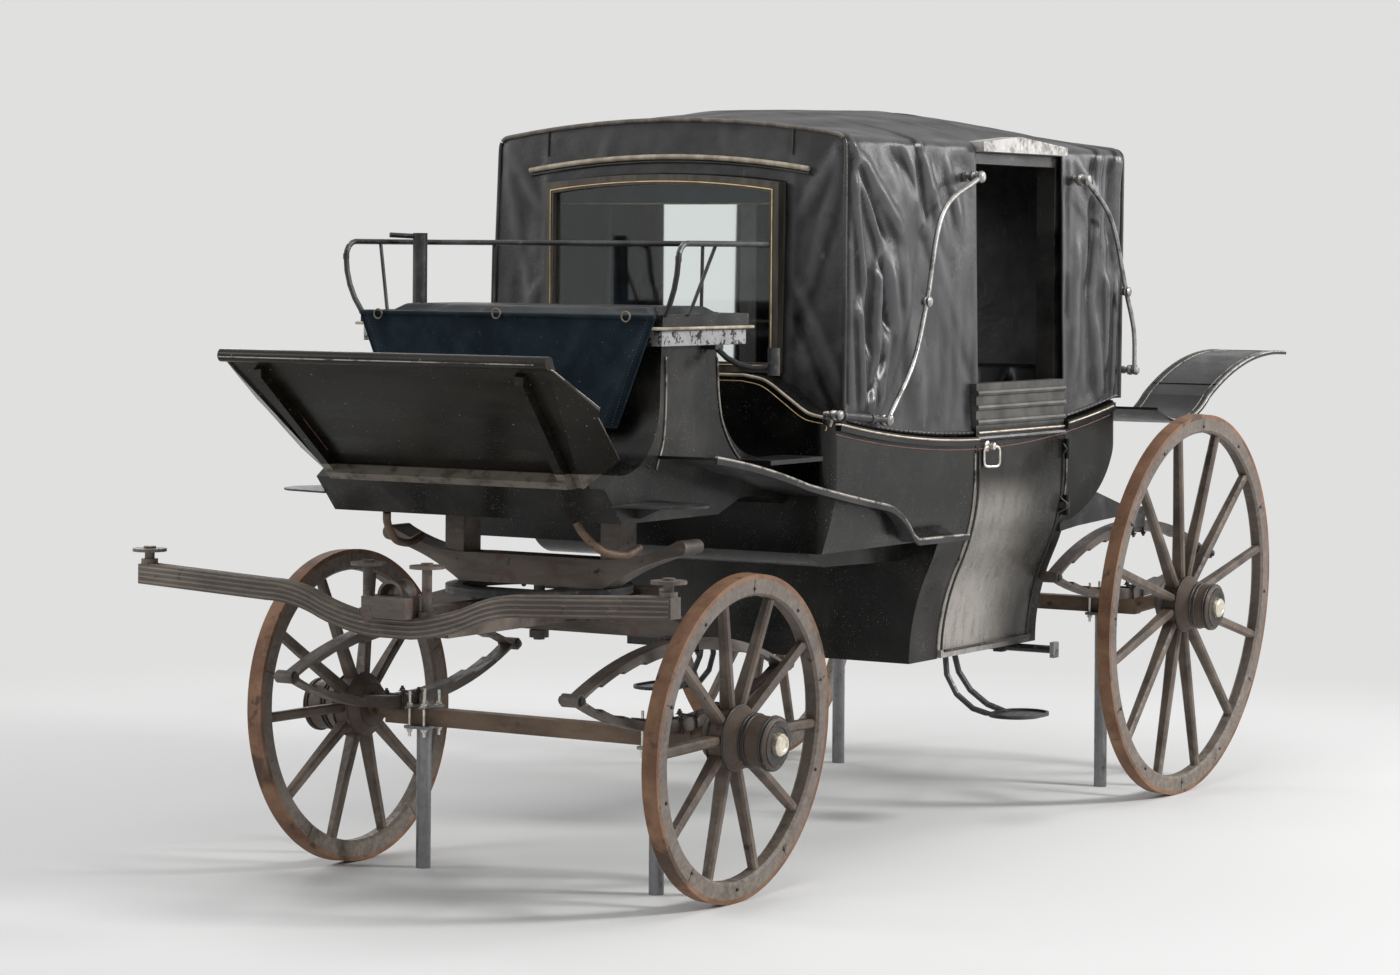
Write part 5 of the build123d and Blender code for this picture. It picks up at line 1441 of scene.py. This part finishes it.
# %% Beads on the cabin's sides and doors
cream_drop, red_drop = 0.008, 0.036
door_foot_z, door_edge_in = 0.522, 0.010
fence_foot_z = 1.158
belt_cream = bare_metal_worn("belt_cream", (0.60, 0.52, 0.43), (0.24, 0.17, 0.11), 0.5, 0.35)
belt_red = window_wood_finish("belt_red", (0.070, 0.022, 0.018), (0.20, 0.085, 0.070))
worn_black = black_iron_paint("worn_black", (0.020, 0.019, 0.018), 0.75)
worn_edge = bare_metal_worn("worn_edge", (0.30, 0.28, 0.25), (0.030, 0.027, 0.025), 0.85, 0.36)
belt_spans = (
    # part of the name, from, to, bodies that it rides on
    ("a", cab_low.y + 0.03, door_y_front - 0.004, on_body),
    ("b", door_y_front + 0.004, door_y_rear - 0.004, on_doors),
    ("c", door_y_rear + 0.004, cab_high.y - 0.06, on_body),
)
for letter, y_from, y_to, bodies in belt_spans:
    if bodies != on_doors:
        cream_line = belt_run(y_from, y_to, cream_drop)
        pair_of_beads("belt_cream_" + letter, [cream_line], 0.0030, belt_cream, bodies)
    pair_of_beads("belt_red_" + letter, [belt_run(y_from, y_to, red_drop)], 0.0018, belt_red, bodies)
edge_front, edge_rear = door_y_front + door_edge_in, door_y_rear - door_edge_in
door_edge = [upright(y, 0.525, 1.105, proud=0.0015) for y in (edge_front, edge_rear)]
door_edge.append(level_line(door_foot_z, edge_front, edge_rear, 24))
pair_of_beads("door_beads", door_edge, 0.0042, worn_black, on_doors)
panel_edge = [upright(door_y_front - 0.014, 0.53, 1.10), upright(door_y_rear + 0.014, 0.88, 1.10, 20)]
bead("panel_beads", both_sides(panel_edge), 0.0036, worn_edge)
fence_foot = level_line(fence_foot_z, door_y_front + 0.006, door_y_rear - 0.006, 30)
pair_of_beads("fence_bead", [fence_foot], 0.0036, belt_cream, on_doors)


# the hood's foot: a leather strip nailed along the belt
def above_belt(y, out):
    return Vector((hood_side_x(belt_at(y)) + out, y, belt_at(y) + 0.010))


foot_spans = ((front_edge_y + 0.012, pillar_front_y - 0.008), (pillar_rear_y + 0.008, rear_edge_y - 0.075))
foot_rows = [np.linspace(y_from, y_to, 60) for y_from, y_to in foot_spans]
strips = [[above_belt(y, 0.002) for y in ys] for ys in foot_rows]
nails_at = [[above_belt(y, 0.0065) for y in ys] for ys in foot_rows]
bead("hood_foot_strip", both_sides(strips), 0.0055, welt_leather)
row_of_nails("hood_nails", both_sides(nails_at), 0.026, 0.0032, worn_black)
print("body beads laid")

# %% Beads on the boot, the shoulders and the driver's seat
boot_skin = skin_of("driver_boot")
boot_edges = (
    # y, z along the boot's front edge, then along its rear edge
    ((-1.382, 1.405), (-1.381, 1.294), (-1.391, 1.192), (-1.424, 1.116)),
    ((-1.131, 1.400), (-1.119, 1.286), (-1.090, 1.206), (-1.008, 1.124), (-0.860, 1.074)),
)
boot_rough = [smooth_line([(0, y, z) for y, z in edge]) for edge in boot_edges]
boot_lines = [laid(boot_skin, line, inward, 0.0012) for line in boot_rough]
bead("boot_beads", both_sides(boot_lines), 0.0032, worn_edge)
seat_low, seat_high = corner("driver_seat")
seat_level = seat_low.z + 0.046
seat_rim = [Vector((x, y, seat_level)) for x, y in ((seat_low.x, seat_low.y), (seat_high.x, seat_low.y),
                                                   (seat_high.x, seat_high.y), (seat_low.x, seat_high.y))]
bead("seat_bead", [seat_rim + [seat_rim[0]]], 0.0042, drip_tan)
panel_front_y = corner("front_panel")[0].y
shoulder_in_x, shoulder_top_z = 0.330, 1.340
shoulder_rows = (
    # x, z from the belt up to the middle panel
    (0.600, 1.208), (0.600, 1.228), (0.5325, 1.242), (0.465, 1.284), (0.3975, 1.326),
    (shoulder_in_x, shoulder_top_z),
)
shoulder = smooth_line([(x, panel_front_y, z) for x, z in shoulder_rows])
panel_xs = np.linspace(shoulder_in_x, -shoulder_in_x, 20)
panel_top = [Vector((x, panel_front_y, shoulder_top_z)) for x in panel_xs]
whole = shoulder + panel_top[1:-1] + mirrored([shoulder])[0][::-1]
bead("shoulder_bead", [[p + Vector((0, -0.001, 0)) for p in whole]], 0.0045, drip_tan)
gold_below = [Vector((p.x * 0.975, p.y - 0.001, p.z - 0.016)) for p in whole[2:-2]]
bead("shoulder_gold", [gold_below], 0.0018, gold_line)

# %% Mudguards and rear wings
guard_low, guard_high = corner("front_mudguards")
guard_ys = np.linspace(guard_low.y + 0.002, guard_high.y - 0.002, 160)
guard_rough = [Vector((guard_high.x - 0.004, y, 1.5)) for y in guard_ys]
guard_edge = laid(skin_of("front_mudguards"), guard_rough, down, 0.0005)
bead("mudguard_edges", both_sides([guard_edge]), 0.0050, worn_edge)
wing_low, wing_high = corner("rear_wings")
wing_skin = skin_of("rear_wings")
wing_root_y, wing_tip_y = wing_low.y + 0.07, wing_high.y - 0.002
wing_in_x, wing_out_x = 0.504, wing_high.x - 0.004
wing_joint_y = wing_low.y + 0.46 * (wing_high.y - wing_low.y)
border_in = 0.020


def on_wing(x_y):
    return laid(wing_skin, [Vector((x, y, 2.0)) for x, y in x_y], down, 0.0006)


def wing_line(x, inset, count=90):
    return on_wing([(x, y) for y in np.linspace(wing_root_y + inset, wing_tip_y - inset, count)])


def wing_end(y, inset):
    return on_wing([(x, y) for x in np.linspace(wing_in_x + inset, wing_out_x - inset, 14)])


outer_edge = wing_line(wing_out_x, 0)
dull_edges = [wing_line(wing_in_x, 0), wing_end(wing_high.y - 0.003, 0)]
border = wing_line(wing_in_x + border_in, border_in) + wing_end(wing_tip_y - border_in, border_in)[1:-1]
border += wing_line(wing_out_x - border_in, border_in)[::-1]
border += wing_end(wing_root_y + border_in, border_in)[::-1][1:-1] + [border[0]]
bead("wing_edges", both_sides([outer_edge]), 0.0042, iron_worn)
bead("wing_dull_edges", both_sides(dull_edges), 0.0034, worn_black)
bead("wing_borders", both_sides([border]), 0.0020, worn_edge)
bead("wing_joints", both_sides([wing_end(wing_joint_y, 0)]), 0.0022, welt_leather)
print("edges:", len(guard_edge), len(outer_edge), len(border), "points")

# %% The footboard's worn edges and red lines
board_skin = skin_of("footboard")
board_lip = Vector((0, -1.9945, 1.402))
board_foot = Vector((0, 0.7146, -0.6995))
board_back = Vector((0, 0.6995, 0.7146))
skin_reach = 0.03


def snapped(corners, steps=12):
    """A line through (x, down from the lip, behind the face) corners, snapped to the footboard's skin."""
    found = []
    for a, b in zip(corners, corners[1:]):
        for t in np.linspace(0, 1, steps)[:-1]:
            x, below, behind = Vector(a).lerp(Vector(b), t)
            rough = board_lip + Vector((x, 0, 0)) + board_foot * below + board_back * behind
            place, normal, face, gap = board_skin.find_nearest(rough)
            if gap < skin_reach:
                found.append(place + normal * 0.0005)
    return found


lip_line = snapped([(x, -0.012, -0.018) for x in np.linspace(-0.505, 0.505, 4)])
cheek_line = snapped([(0.499, 0.010, -0.002), (0.531, 0.214, 0.050), (0.511, 0.236, 0.054),
                      (0.477, 0.401, 0.092)])
bead("footboard_worn_lines", [lip_line] + both_sides([cheek_line]), 0.0018, worn_edge)
rib_line = snapped([(0.398, 0.050, -0.002), (0.352, 0.385, -0.002)])
bead("footboard_red_lines", both_sides([rib_line]), 0.0013, belt_red)
print("footboard:", len(lip_line), len(cheek_line), len(rib_line), "points")

# %% [markdown]
# ## Wheels
#
# Each wheel's own axis is found from its tyre: the direction in which the ring of points is thinnest.
# Rings, caps and bolts are then turned about that axis, so they lean with the wheel's camber and turn with
# it.

# %% Turned fittings for the wheels
def axle_of(node):
    """Centre and outward axis of a round node."""
    points = np.array([v.co for v in nodes[node].data.vertices])
    points = np.unique(points.round(5), axis=0)
    centre = (points.min(axis=0) + points.max(axis=0)) / 2
    centred = points - points.mean(axis=0)
    axis = Vector(np.linalg.svd(centred, full_matrices=False)[2][2])
    if axis.x * centre[0] < 0:
        axis = -axis
    return Vector(centre), axis.normalized()


def wheel_frame(axis):
    up_wheel = (Vector((0, 0, 1)) - axis * axis.z).normalized()
    return up_wheel, axis.cross(up_wheel)


def round_axis(centre, axis, along, radius, count):
    """Points of a circle about the axis, at a distance along it."""
    a, b = wheel_frame(axis)
    turns = (2 * math.pi * k / count for k in range(count))
    return [centre + axis * along + (a * math.cos(t) + b * math.sin(t)) * radius for t in turns]


def ring_line(centre, axis, along, radius, count=72):
    line = round_axis(centre, axis, along, radius, count)
    return line + [line[0]]


def turned(name, centre, axis, profile, finish, body, count=48):
    """Closed solid of revolution from (along, radius) rows; the first and last radius are 0."""
    points, faces = [centre + axis * profile[0][0]], []
    for along, radius in profile[1:-1]:
        points += round_axis(centre, axis, along, radius, count)
    points.append(centre + axis * profile[-1][0])
    rows = len(profile) - 2
    last = 1 + (rows - 1) * count
    for k in range(count):
        following = (k + 1) % count
        faces.append((0, 1 + following, 1 + k))
        for row in range(rows - 1):
            i, j = 1 + row * count + k, 1 + row * count + following
            faces.append((i, j, j + count, i + count))
        faces.append((last + k, last + following, len(points) - 1))
    piece = add_piece(name, points, faces, finish, smooth=False)
    edited(piece.data, lambda bm: bmesh.ops.recalc_face_normals(bm, faces=bm.faces))
    return declare(piece, body)


hands = ((1, "left"), (-1, "right"))


def turned_pair(name, place, axis, profile, finish, count, bodies=on_body):
    """The same turned fitting on both sides; place and axis are those of the left one."""
    for (side, side_name), body in zip(hands, bodies):
        flip = Vector((side, 1, 1))
        turned(name + "_" + side_name, Vector(place) * flip, Vector(axis) * flip, profile, finish, body,
               count)


# %% Nave bands, caps, felloe joints and bolts
nave_iron = black_iron_paint("nave_iron", (0.030, 0.026, 0.023), 0.6)
cap_brass = bare_metal_worn("cap_brass", (0.78, 0.72, 0.60), (0.35, 0.26, 0.16), 0.4, 0.28)
joint_dark = black_iron_paint("joint_dark", (0.012, 0.010, 0.009), 0.15)
wheel_table = (
    # name, radius, half tread, nave inner end, nave outer end, spokes
    ("front", 0.425, 0.022, -0.078, 0.118, 10),
    ("rear", 0.591, 0.0205, -0.080, 0.100, 12),
)
face_profile = (
    # beyond the nave's outer end, radius
    (-0.004, 0), (-0.004, 0.0600), (0.003, 0.0590), (0.003, 0.0440), (0.0005, 0.0420), (0.0005, 0),
)
cap_profile = (
    (0.0, 0), (0.0, 0.030), (0.012, 0.029), (0.0185, 0.024), (0.0195, 0.016), (0.0178, 0.014), (0.0178, 0),
)
rim_out, rim_in, bolts_in = 0.0125, 0.048, 0.036
for axle_name, radius, half_tread, nave_in, nave_out, spokes in wheel_table:
    band_rows = (
        (-0.046, 0.0845), (0.0, 0.0845), (half_tread + 0.020, 0.0685), (half_tread + 0.032, 0.0685),
        (nave_out - 0.016, 0.0688), (nave_out - 0.008, 0.0680), (nave_in + 0.004, 0.058),
    )
    for side_name in ("left", "right"):
        body = axle_name + "_wheel_" + side_name
        centre, axis = axle_of(axle_name + "_tyre_" + side_name)
        bands = [ring_line(centre, axis, along, band_radius) for along, band_radius in band_rows]
        bead(body + "_bands", bands, 0.0038, nave_iron, body)
        for part, profile, finish in (("_face", face_profile, nave_iron), ("_cap", cap_profile, cap_brass)):
            placed = [(nave_out + beyond, part_radius) for beyond, part_radius in profile]
            turned(body + part, centre, axis, placed, finish, body)
        joints = []
        for face_at in (half_tread, -half_tread):
            inner_ends = round_axis(centre, axis, face_at, radius - rim_in, spokes)
            outer_ends = round_axis(centre, axis, face_at, radius - rim_out, spokes)
            joints += [list(ends) for ends in zip(inner_ends[::2], outer_ends[::2])]
        bead(body + "_felloe_joints", joints, 0.0011, joint_dark, body)
        bolt_circle = ring_line(centre, axis, half_tread + 0.0004, radius - bolts_in, spokes)
        spacing = 2 * math.pi * (radius - bolts_in) / spokes * 0.999
        row_of_nails(body + "_bolts", [bolt_circle], spacing, 0.0050, nave_iron, body)
print("wheels fitted")

# %% [markdown]
# ## Bolts, clips and threads
#
# One function makes six-sided nuts on washers, from a list of places and directions, and another makes
# plain blocks with soft edges.

# %% Nuts and blocks
def nuts(name, places, finish, body="root", size=0.011, height=0.008, thread=0.010):
    """Nut, washer and thread end at each (point, direction)."""
    washer = 0.0022
    stack = (
        # sides, radius, from, to
        (20, size * 1.35, 0.0, washer),
        (6, size, washer, washer + height),
        (10, size * 0.52, 0.002 + height, 0.002 + height + thread),
    )
    points, faces = [], []
    for point, direction in places:
        turn_to = Vector(direction).to_track_quat("Z", "Y").to_matrix()
        for sides, radius, z_from, z_to in stack:
            first = len(points)
            for z, share in ((z_from, 1.0), (z_to - radius * 0.12, 1.0), (z_to, 0.88)):
                for k in range(sides):
                    t = 2 * math.pi * k / sides
                    spot = Vector((math.cos(t) * radius * share, math.sin(t) * radius * share, z))
                    points.append(Vector(point) + turn_to @ spot)
            for row in range(2):
                for k in range(sides):
                    i, j = first + row * sides + k, first + row * sides + (k + 1) % sides
                    faces.append((i, j, j + sides, i + sides))
            faces.append(tuple(first + 2 * sides + k for k in range(sides)))
            faces.append(tuple(first + sides - 1 - k for k in range(sides)))
    return declare(add_piece(name, points, faces, finish, smooth=False), body)


def boxes(name, rows, finish, body="root", bevel=0.0015):
    """Plain blocks from (low corner, high corner) rows, with a small bevel."""
    sides = ((0, 1, 3, 2), (4, 6, 7, 5), (0, 4, 5, 1), (2, 3, 7, 6), (0, 2, 6, 4), (1, 5, 7, 3))
    points, faces = [], []
    for lo, hi in rows:
        first = len(points)
        points += [(x, y, z) for x in (lo[0], hi[0]) for y in (lo[1], hi[1]) for z in (lo[2], hi[2])]
        faces += [tuple(first + k for k in side) for side in sides]
    piece = add_piece(name, points, faces, finish, smooth=False)
    edge = piece.modifiers.new("edge", "BEVEL")
    edge.width = bevel
    edge.segments = 2
    return declare(bake_modifiers(piece), body)


def middle_of(node):
    low_corner, high_corner = corner(node)
    return (low_corner + high_corner) / 2


# %% Spring clips and stand clamps
spring_table = (
    # name, body, centre x, centre y, lowest, highest, half length, eye height
    ("front", "forecarriage", 0.448, middle_of("front_springs").y, 0.434, 0.672, 0.510, 0.560),
    ("rear", "root", 0.555, middle_of("rear_springs").y, 0.596, 0.838, 0.560, 0.700),
)
leaf_half, pack_depth, clip_step = 0.0225, 0.032, 0.036
clip_half, eye_half, clip_past = leaf_half + 0.005, leaf_half + 0.004, 0.003
for spring_name, body, x, y, lowest, highest, half, eye in spring_table:
    clips, clip_nuts, eye_nuts = [], [], []
    top_from, top_to = highest - pack_depth - clip_past, highest + clip_past
    low_from, low_to = lowest - clip_past, lowest + pack_depth + clip_past
    packs = (
        # from, to, where the nuts sit, which way they point
        (top_from, top_to, top_from, -1),
        (low_from, low_to, low_to, 1),
    )
    for cx in (-x, x):
        for cy in (y - clip_step, y + clip_step):
            for z_from, z_to, nut_z, way in packs:
                loop = [Vector((cx + out, cy, z)) for out, z in ((-clip_half, z_from), (-clip_half, z_to),
                                                                 (clip_half, z_to), (clip_half, z_from))]
                clips.append(loop + [loop[0]])
                clip_nuts += [((cx + out, cy, nut_z), (0, 0, way)) for out in (-clip_half, clip_half)]
        for cy in (y - half, y + half):
            eye_nuts += [((cx + way * eye_half, cy, eye), (way, 0, 0)) for way in (-1, 1)]
    bead(spring_name + "_spring_clips", clips, 0.0045, nave_iron, body)
    nuts(spring_name + "_clip_nuts", clip_nuts, nave_iron, body, 0.008, 0.006, 0.006)
    nuts(spring_name + "_eye_nuts", eye_nuts, nave_iron, body, 0.011, 0.007, 0.002)
stand_table = (
    # name, body, x, y, beam bottom, beam top
    ("front", "forecarriage", 0.375, middle_of("front_springs").y, 0.388, 0.434),
    ("rear", "root", 0.475, middle_of("rear_axle").y, 0.550, 0.596),
)
plate_thick, plate_half = 0.006, 0.011
for stand_name, body, x, y, beam_low, beam_high in stand_table:
    threads, places, bridges = [], [], []
    for cx in (-x - 0.024, -x + 0.024, x - 0.024, x + 0.024):
        for cy in (y - 0.034, y + 0.034):
            threads.append([Vector((cx, cy, beam_low - 0.030)), Vector((cx, cy, beam_high + 0.046))])
            places.append(((cx, cy, beam_high + plate_thick), (0, 0, 1)))
            places.append(((cx, cy, beam_low - 0.008), (0, 0, -1)))
        bridges.append(((cx - plate_half, y - 0.046, beam_high),
                        (cx + plate_half, y + 0.046, beam_high + plate_thick)))
    bead(stand_name + "_stand_threads", threads, 0.0042, bright_metal, body)
    nuts(stand_name + "_stand_nuts", places, bright_metal, body, 0.0085, 0.007, 0.001)
    boxes(stand_name + "_stand_bridges", bridges, stand_steel, body)
print("clips, nuts and clamps made")

# %% Splinter bar reeds, plate bolts and the pole strap's nuts
bar_low, bar_high = corner("splinter_bar")
bar_skin = skin_of("splinter_bar")
bar_middle_y = (bar_low.y + bar_high.y) / 2
levels = []
for x in np.linspace(bar_low.x + 0.004, bar_high.x - 0.004, 150):
    top_hit = bar_skin.ray_cast(Vector((x, bar_middle_y, 2)), Vector(down))[0]
    low_hit = bar_skin.ray_cast(Vector((x, bar_middle_y, 0)), -Vector(down))[0]
    if top_hit and low_hit:
        levels.append((x, low_hit.z, top_hit.z))
reeds = []
for share in (0.14, 0.38, 0.62, 0.86):
    for y in (bar_low.y, bar_high.y):
        reeds.append([Vector((x, y, lo + (hi - lo) * share)) for x, lo, hi in levels])
for share in (0.2, 0.5, 0.8):
    y = bar_low.y + (bar_high.y - bar_low.y) * share
    reeds.append([Vector((x, y, hi)) for x, lo, hi in levels])
# the reeds are painted paler than the bar: partly paint, partly a painted highlight on the mouldings
reed_paint_and_highlight = gear_paint("reed_paint_and_highlight", (0.110, 0.092, 0.075), (0.260, 0.225, 0.185), (0.25, 1, 1))
bead("splinter_bar_reeds", reeds, 0.0032, reed_paint_and_highlight, "forecarriage")
plate_centre = middle_of("wheel_plate_low")
plate_centre.z = corner("wheel_plate_low")[0].z
bolt_circle_radius, bolt_count = 0.2275, 12
bolt_turns = [2 * math.pi * (k + 0.5) / bolt_count for k in range(bolt_count)]
bolt_ways = [Vector((math.cos(t), math.sin(t), 0)) for t in bolt_turns]
plate_bolts = [(plate_centre + way * bolt_circle_radius, down) for way in bolt_ways]
nuts("wheel_plate_bolts", plate_bolts, nave_iron, "forecarriage", 0.007, 0.004, 0.002)
socket_low, socket_high = corner("pole_socket")
strap_ys = (socket_low.y + 0.02, socket_high.y - 0.02)
strap_nuts = [((x, y, socket_low.z + 0.054), (0, 0, 1)) for x in (-0.056, 0.056) for y in strap_ys]
nuts("pole_strap_nuts", strap_nuts, nave_iron, "forecarriage", 0.009, 0.007, 0.004)
print(len(reeds), "reed lines")

# %% [markdown]
# ## Inside the cabin
#
# The hood is lined: a thinner sheet of navy cloth hangs a finger's width inside the leather, over bent
# wooden hoops. A tan strap hangs by the rear pillar.

# %% Lining, hoops and strap
lining_cloth = navy_cloth("lining_cloth")
lining_rows = (20, 6, 28)
lining_gap, hoop_gap = 0.018, 0.026


def lining_half(name, start_y, end_y, pillar_y, door_behind, columns):
    """The cloth inside one half of the hood; over the doorway only the roof rows are kept."""
    ys, at_pillar = columns_to_pillar(start_y, end_y, columns, pillar_y)
    base = np.array([hood_profile(float(y), *lining_rows) for y in ys])
    rows = base.shape[1]
    x, z, nx, nz = (base[:, :, k] for k in range(4))
    length = np.sqrt(nx * nx + nz * nz)
    y = np.repeat(ys[:, None], rows, axis=1)
    sag = 0.006 * np.sin((y - start_y) * 26) ** 2 * np.clip((z - edge_z) / 0.03, 0, 1)
    inside_x, inside_z = x - nx / length * lining_gap, z - nz / length * lining_gap
    points = np.stack((inside_x, y, inside_z - sag), axis=2).reshape(-1, 3)
    first_roof_row = lining_rows[0] + 1
    used_rows = roof_rows_only(rows, first_roof_row, at_pillar, door_behind)
    sheet = add_piece(name, points, grid_faces(columns, rows, used_rows=used_rows), lining_cloth)
    area = edited(sheet.data, trim_loose)
    declare(thicken(sheet, 0.0015), "root")


lining_half("lining_front", front_edge_y + 0.075, split_y - 0.002, pillar_front_y - 0.022, True, 40)
lining_half("lining_rear", split_y + 0.002, rear_edge_y - 0.085, pillar_rear_y + 0.022, False, 32)
hoop_lines = []
for y in (-0.42, -0.12, split_y - 0.03, 0.86):
    over_door = door_y_front < y < door_y_rear
    hoop_lines.append([Vector((x - nx * hoop_gap, y, z - nz * hoop_gap))
                       for x, z, nx, nz in hood_profile(y, *lining_rows) if not over_door or z > edge_z])
bead("hood_hoops", hoop_lines, 0.008, window_wood)
strap_x, strap_y, strap_top_z = 0.548, door_y_rear + 0.030, 1.86
strap_half, strap_length, strap_bow = 0.014, 0.30, 0.006
strap_points = []
for share in np.linspace(0, 1, 25):
    x = strap_x - strap_bow * math.sin(math.pi * share)
    strap_points += [(x, strap_y + side * strap_half, strap_top_z - strap_length * share) for side in (-1, 1)]
strap_finish = window_wood_finish("strap_leather", (0.16, 0.10, 0.05), (0.34, 0.24, 0.13))
strap = add_piece("hanging_strap", strap_points, grid_faces(25, 2), strap_finish)
declare(thicken(strap, 0.003), "root")
print("lined")

# %% [markdown]
# ## The hood's jointed irons
#
# The stays outside the hood are the carriage's most graceful lines, so they are drawn again as smooth
# curves with turned knobs, in place of the frame's plain bars.

# %% Hood irons
iron_x, iron_half = 0.624, 0.014
iron_table = (
    # top knob, bend, knuckle, bend, foot: (y, z)
    ((0.0325, 1.896), (-0.1915, 1.790), (-0.2835, 1.540), (-0.3615, 1.370), (-0.5045, 1.217)),
    ((0.7255, 1.901), (0.9035, 1.780), (1.0125, 1.560), (1.0685, 1.440), (1.0745, 1.317)),
)
prop_line = ((-0.7815, 1.239), (-0.5045, 1.217))
knuckle_radius = 0.014
stays, knobs = [], []
for row in iron_table:
    stays += [smooth_line([(iron_x, y, z) for y, z in part], 14) for part in (row[:3], row[2:])]
    knobs += [(row[0], 0.017), (row[2], knuckle_radius), (row[4], 0.015)]
knobs.append((prop_line[0], 0.013))
bead("hood_iron_stays", both_sides(stays), 0.0075, iron_worn, "root", "black_iron", "hood_irons")
knob_profile = (
    # share of the way out, share of the radius
    (0.00, 0.80), (0.18, 0.80), (0.22, 0.55), (0.34, 0.55), (0.38, 1.00), (0.50, 1.08), (0.60, 1.00),
    (0.64, 0.70), (0.70, 0.70), (0.74, 1.00), (0.88, 1.05), (0.97, 0.80), (1.00, 0.45),
)
for knob_number, ((y, z), radius) in enumerate(knobs):
    inner = iron_x - iron_half if radius == knuckle_radius else hood_side_x(z) - 0.002
    outer = iron_x + iron_half
    rows = [(inner + (outer - inner) * out_share, radius * share) for out_share, share in knob_profile]
    rows = [(inner, 0)] + rows + [(outer, 0)]
    turned_pair("iron_knob_" + str(knob_number), (0, y, z), (1, 0, 0), rows, iron_worn, 28)
prop_from, prop_to = (Vector((iron_x, y, z)) for y, z in prop_line)
prop_length = (prop_to - prop_from).length
prop_axis = (prop_to - prop_from).normalized()
collar = prop_length * 0.62
prop_profile = (
    (0.0, 0), (0.0, 0.009), (0.020, 0.0095), (0.022, 0.0145), (0.034, 0.0145), (0.036, 0.0115),
    (collar, 0.0115), (collar + 0.002, 0.0150), (collar + 0.016, 0.0150), (collar + 0.018, 0.0085),
    (prop_length, 0.0085), (prop_length, 0),
)
turned_pair("hood_prop", prop_from, prop_axis, prop_profile, black_iron, 24)
print(len(knobs), "knobs a side")

# %% [markdown]
# ## Small ironwork
#
# A ring on a turned spindle for each door, a square nut on each end of the brake shaft, goosenecks from the
# boot to the transom, a fan-shaped boss over each driver's step, and a knob on each shoulder.

# %% Door rings and the brake shaft's nuts
def soft_square(t, half, power=0.45):
    c, s = math.cos(t), math.sin(t)
    return half * math.copysign(abs(c) ** power, c), half * math.copysign(abs(s) ** power, s)


spindle_y, spindle_z = 0.1285, 1.118
ring_half, ring_turn = 0.029, 0.42
ring_shape = [soft_square(t, ring_half) for t in np.linspace(0, 2 * math.pi, 41)[:-1]]
handle_low, handle_high = corner("door_handle_left")
inner, outer = handle_low.x, handle_high.x
for side, side_name in hands:
    across = Vector((side * math.sin(ring_turn), math.cos(ring_turn), 0))
    middle = Vector((side * (outer - 0.013), spindle_y + 0.004, spindle_z - 0.030))
    ring = [middle + across * a + Vector((0, 0, b)) for a, b in ring_shape]
    bead("door_ring_" + side_name, [ring + [ring[0]]], 0.0042, bright_metal, "door_" + side_name,
         "bare_metal", "door_handle_" + side_name)
spindle = (
    (inner - 0.002, 0), (inner - 0.002, 0.017), (inner + 0.004, 0.016), (inner + 0.006, 0.008),
    (outer - 0.012, 0.007), (outer - 0.010, 0.011), (outer - 0.002, 0.010), (outer, 0.004), (outer, 0),
)
turned_pair("door_spindle", (0, spindle_y, spindle_z), (1, 0, 0), spindle, bright_metal, 24, on_doors)
shaft_low, shaft_high = corner("brake_shaft")
shaft_y, shaft_z = shaft_high.y - 0.016, shaft_low.z + 0.016
nut_from_x, nut_to_x = shaft_high.x - 0.004, shaft_high.x + 0.012
for side, side_name in hands:
    nut_low_x, nut_high_x = sorted((side * nut_from_x, side * nut_to_x))
    nut = ((nut_low_x, shaft_y - 0.017, shaft_z - 0.024), (nut_high_x, shaft_y + 0.017, shaft_z + 0.024))
    boxes("brake_shaft_nut_" + side_name, [nut], iron_worn, bevel=0.0025)
print("rings, spindles and nuts")

# %% Goosenecks, bosses and knobs
goose_corners = [(0.300, -1.560, 0.984), (0.312, -1.540, 0.950), (0.330, -1.480, 0.905),
                 (0.345, -1.400, 0.890), (0.350, -1.335, 0.905)]
bead("goosenecks", both_sides([smooth_line(goose_corners, 8)]), 0.011, axle_paint)
step_low, step_high = corner("driver_steps")
step_middle = (step_low.y + step_high.y) / 2
boot_side_x = 0.398
boss_reach, boss_height, rib_height, boss_ribs, boss_rows = 0.058, 0.020, 0.003, 25, 9
for side, side_name in hands:
    boss_points = []
    for t in np.linspace(0, math.pi, boss_ribs):
        for share in np.linspace(0, 1, boss_rows):
            swell = math.sin(math.pi / 2 * (1 - share)) * (boss_height + rib_height * abs(math.sin(5 * t)))
            x, reach = side * (boot_side_x + 0.001 + swell), boss_reach * share
            boss_points.append((x, step_middle + math.cos(t) * reach, step_high.z + math.sin(t) * reach))
    boss_faces = grid_faces(boss_ribs, boss_rows)
    if side > 0:
        boss_faces = [face[::-1] for face in boss_faces]
    boss = add_piece("step_boss_" + side_name, boss_points, boss_faces, boot_lacquer)
    edited(boss.data, weld)
    declare(thicken(boss, 0.003), "root")
teeth = []
for k in (-1, 0, 1):
    x, y = boot_side_x + 0.030 + 0.022 * (1 - abs(k)), step_middle + 0.045 * k
    teeth.append([Vector((x, y, step_low.z + 0.034)), Vector((x, y, step_low.z + 0.006))])
bead("step_teeth", both_sides(teeth), 0.005, black_iron)
shoulder_knob = ((0, 0), (0, 0.007), (0.006, 0.007), (0.008, 0.011), (0.015, 0.011), (0.019, 0.006),
                 (0.019, 0))
turned_pair("shoulder_knob", (0.592, panel_front_y + 0.006, 1.222), (0, -1, 0), shoulder_knob, black_iron, 24)
print("small ironwork made")
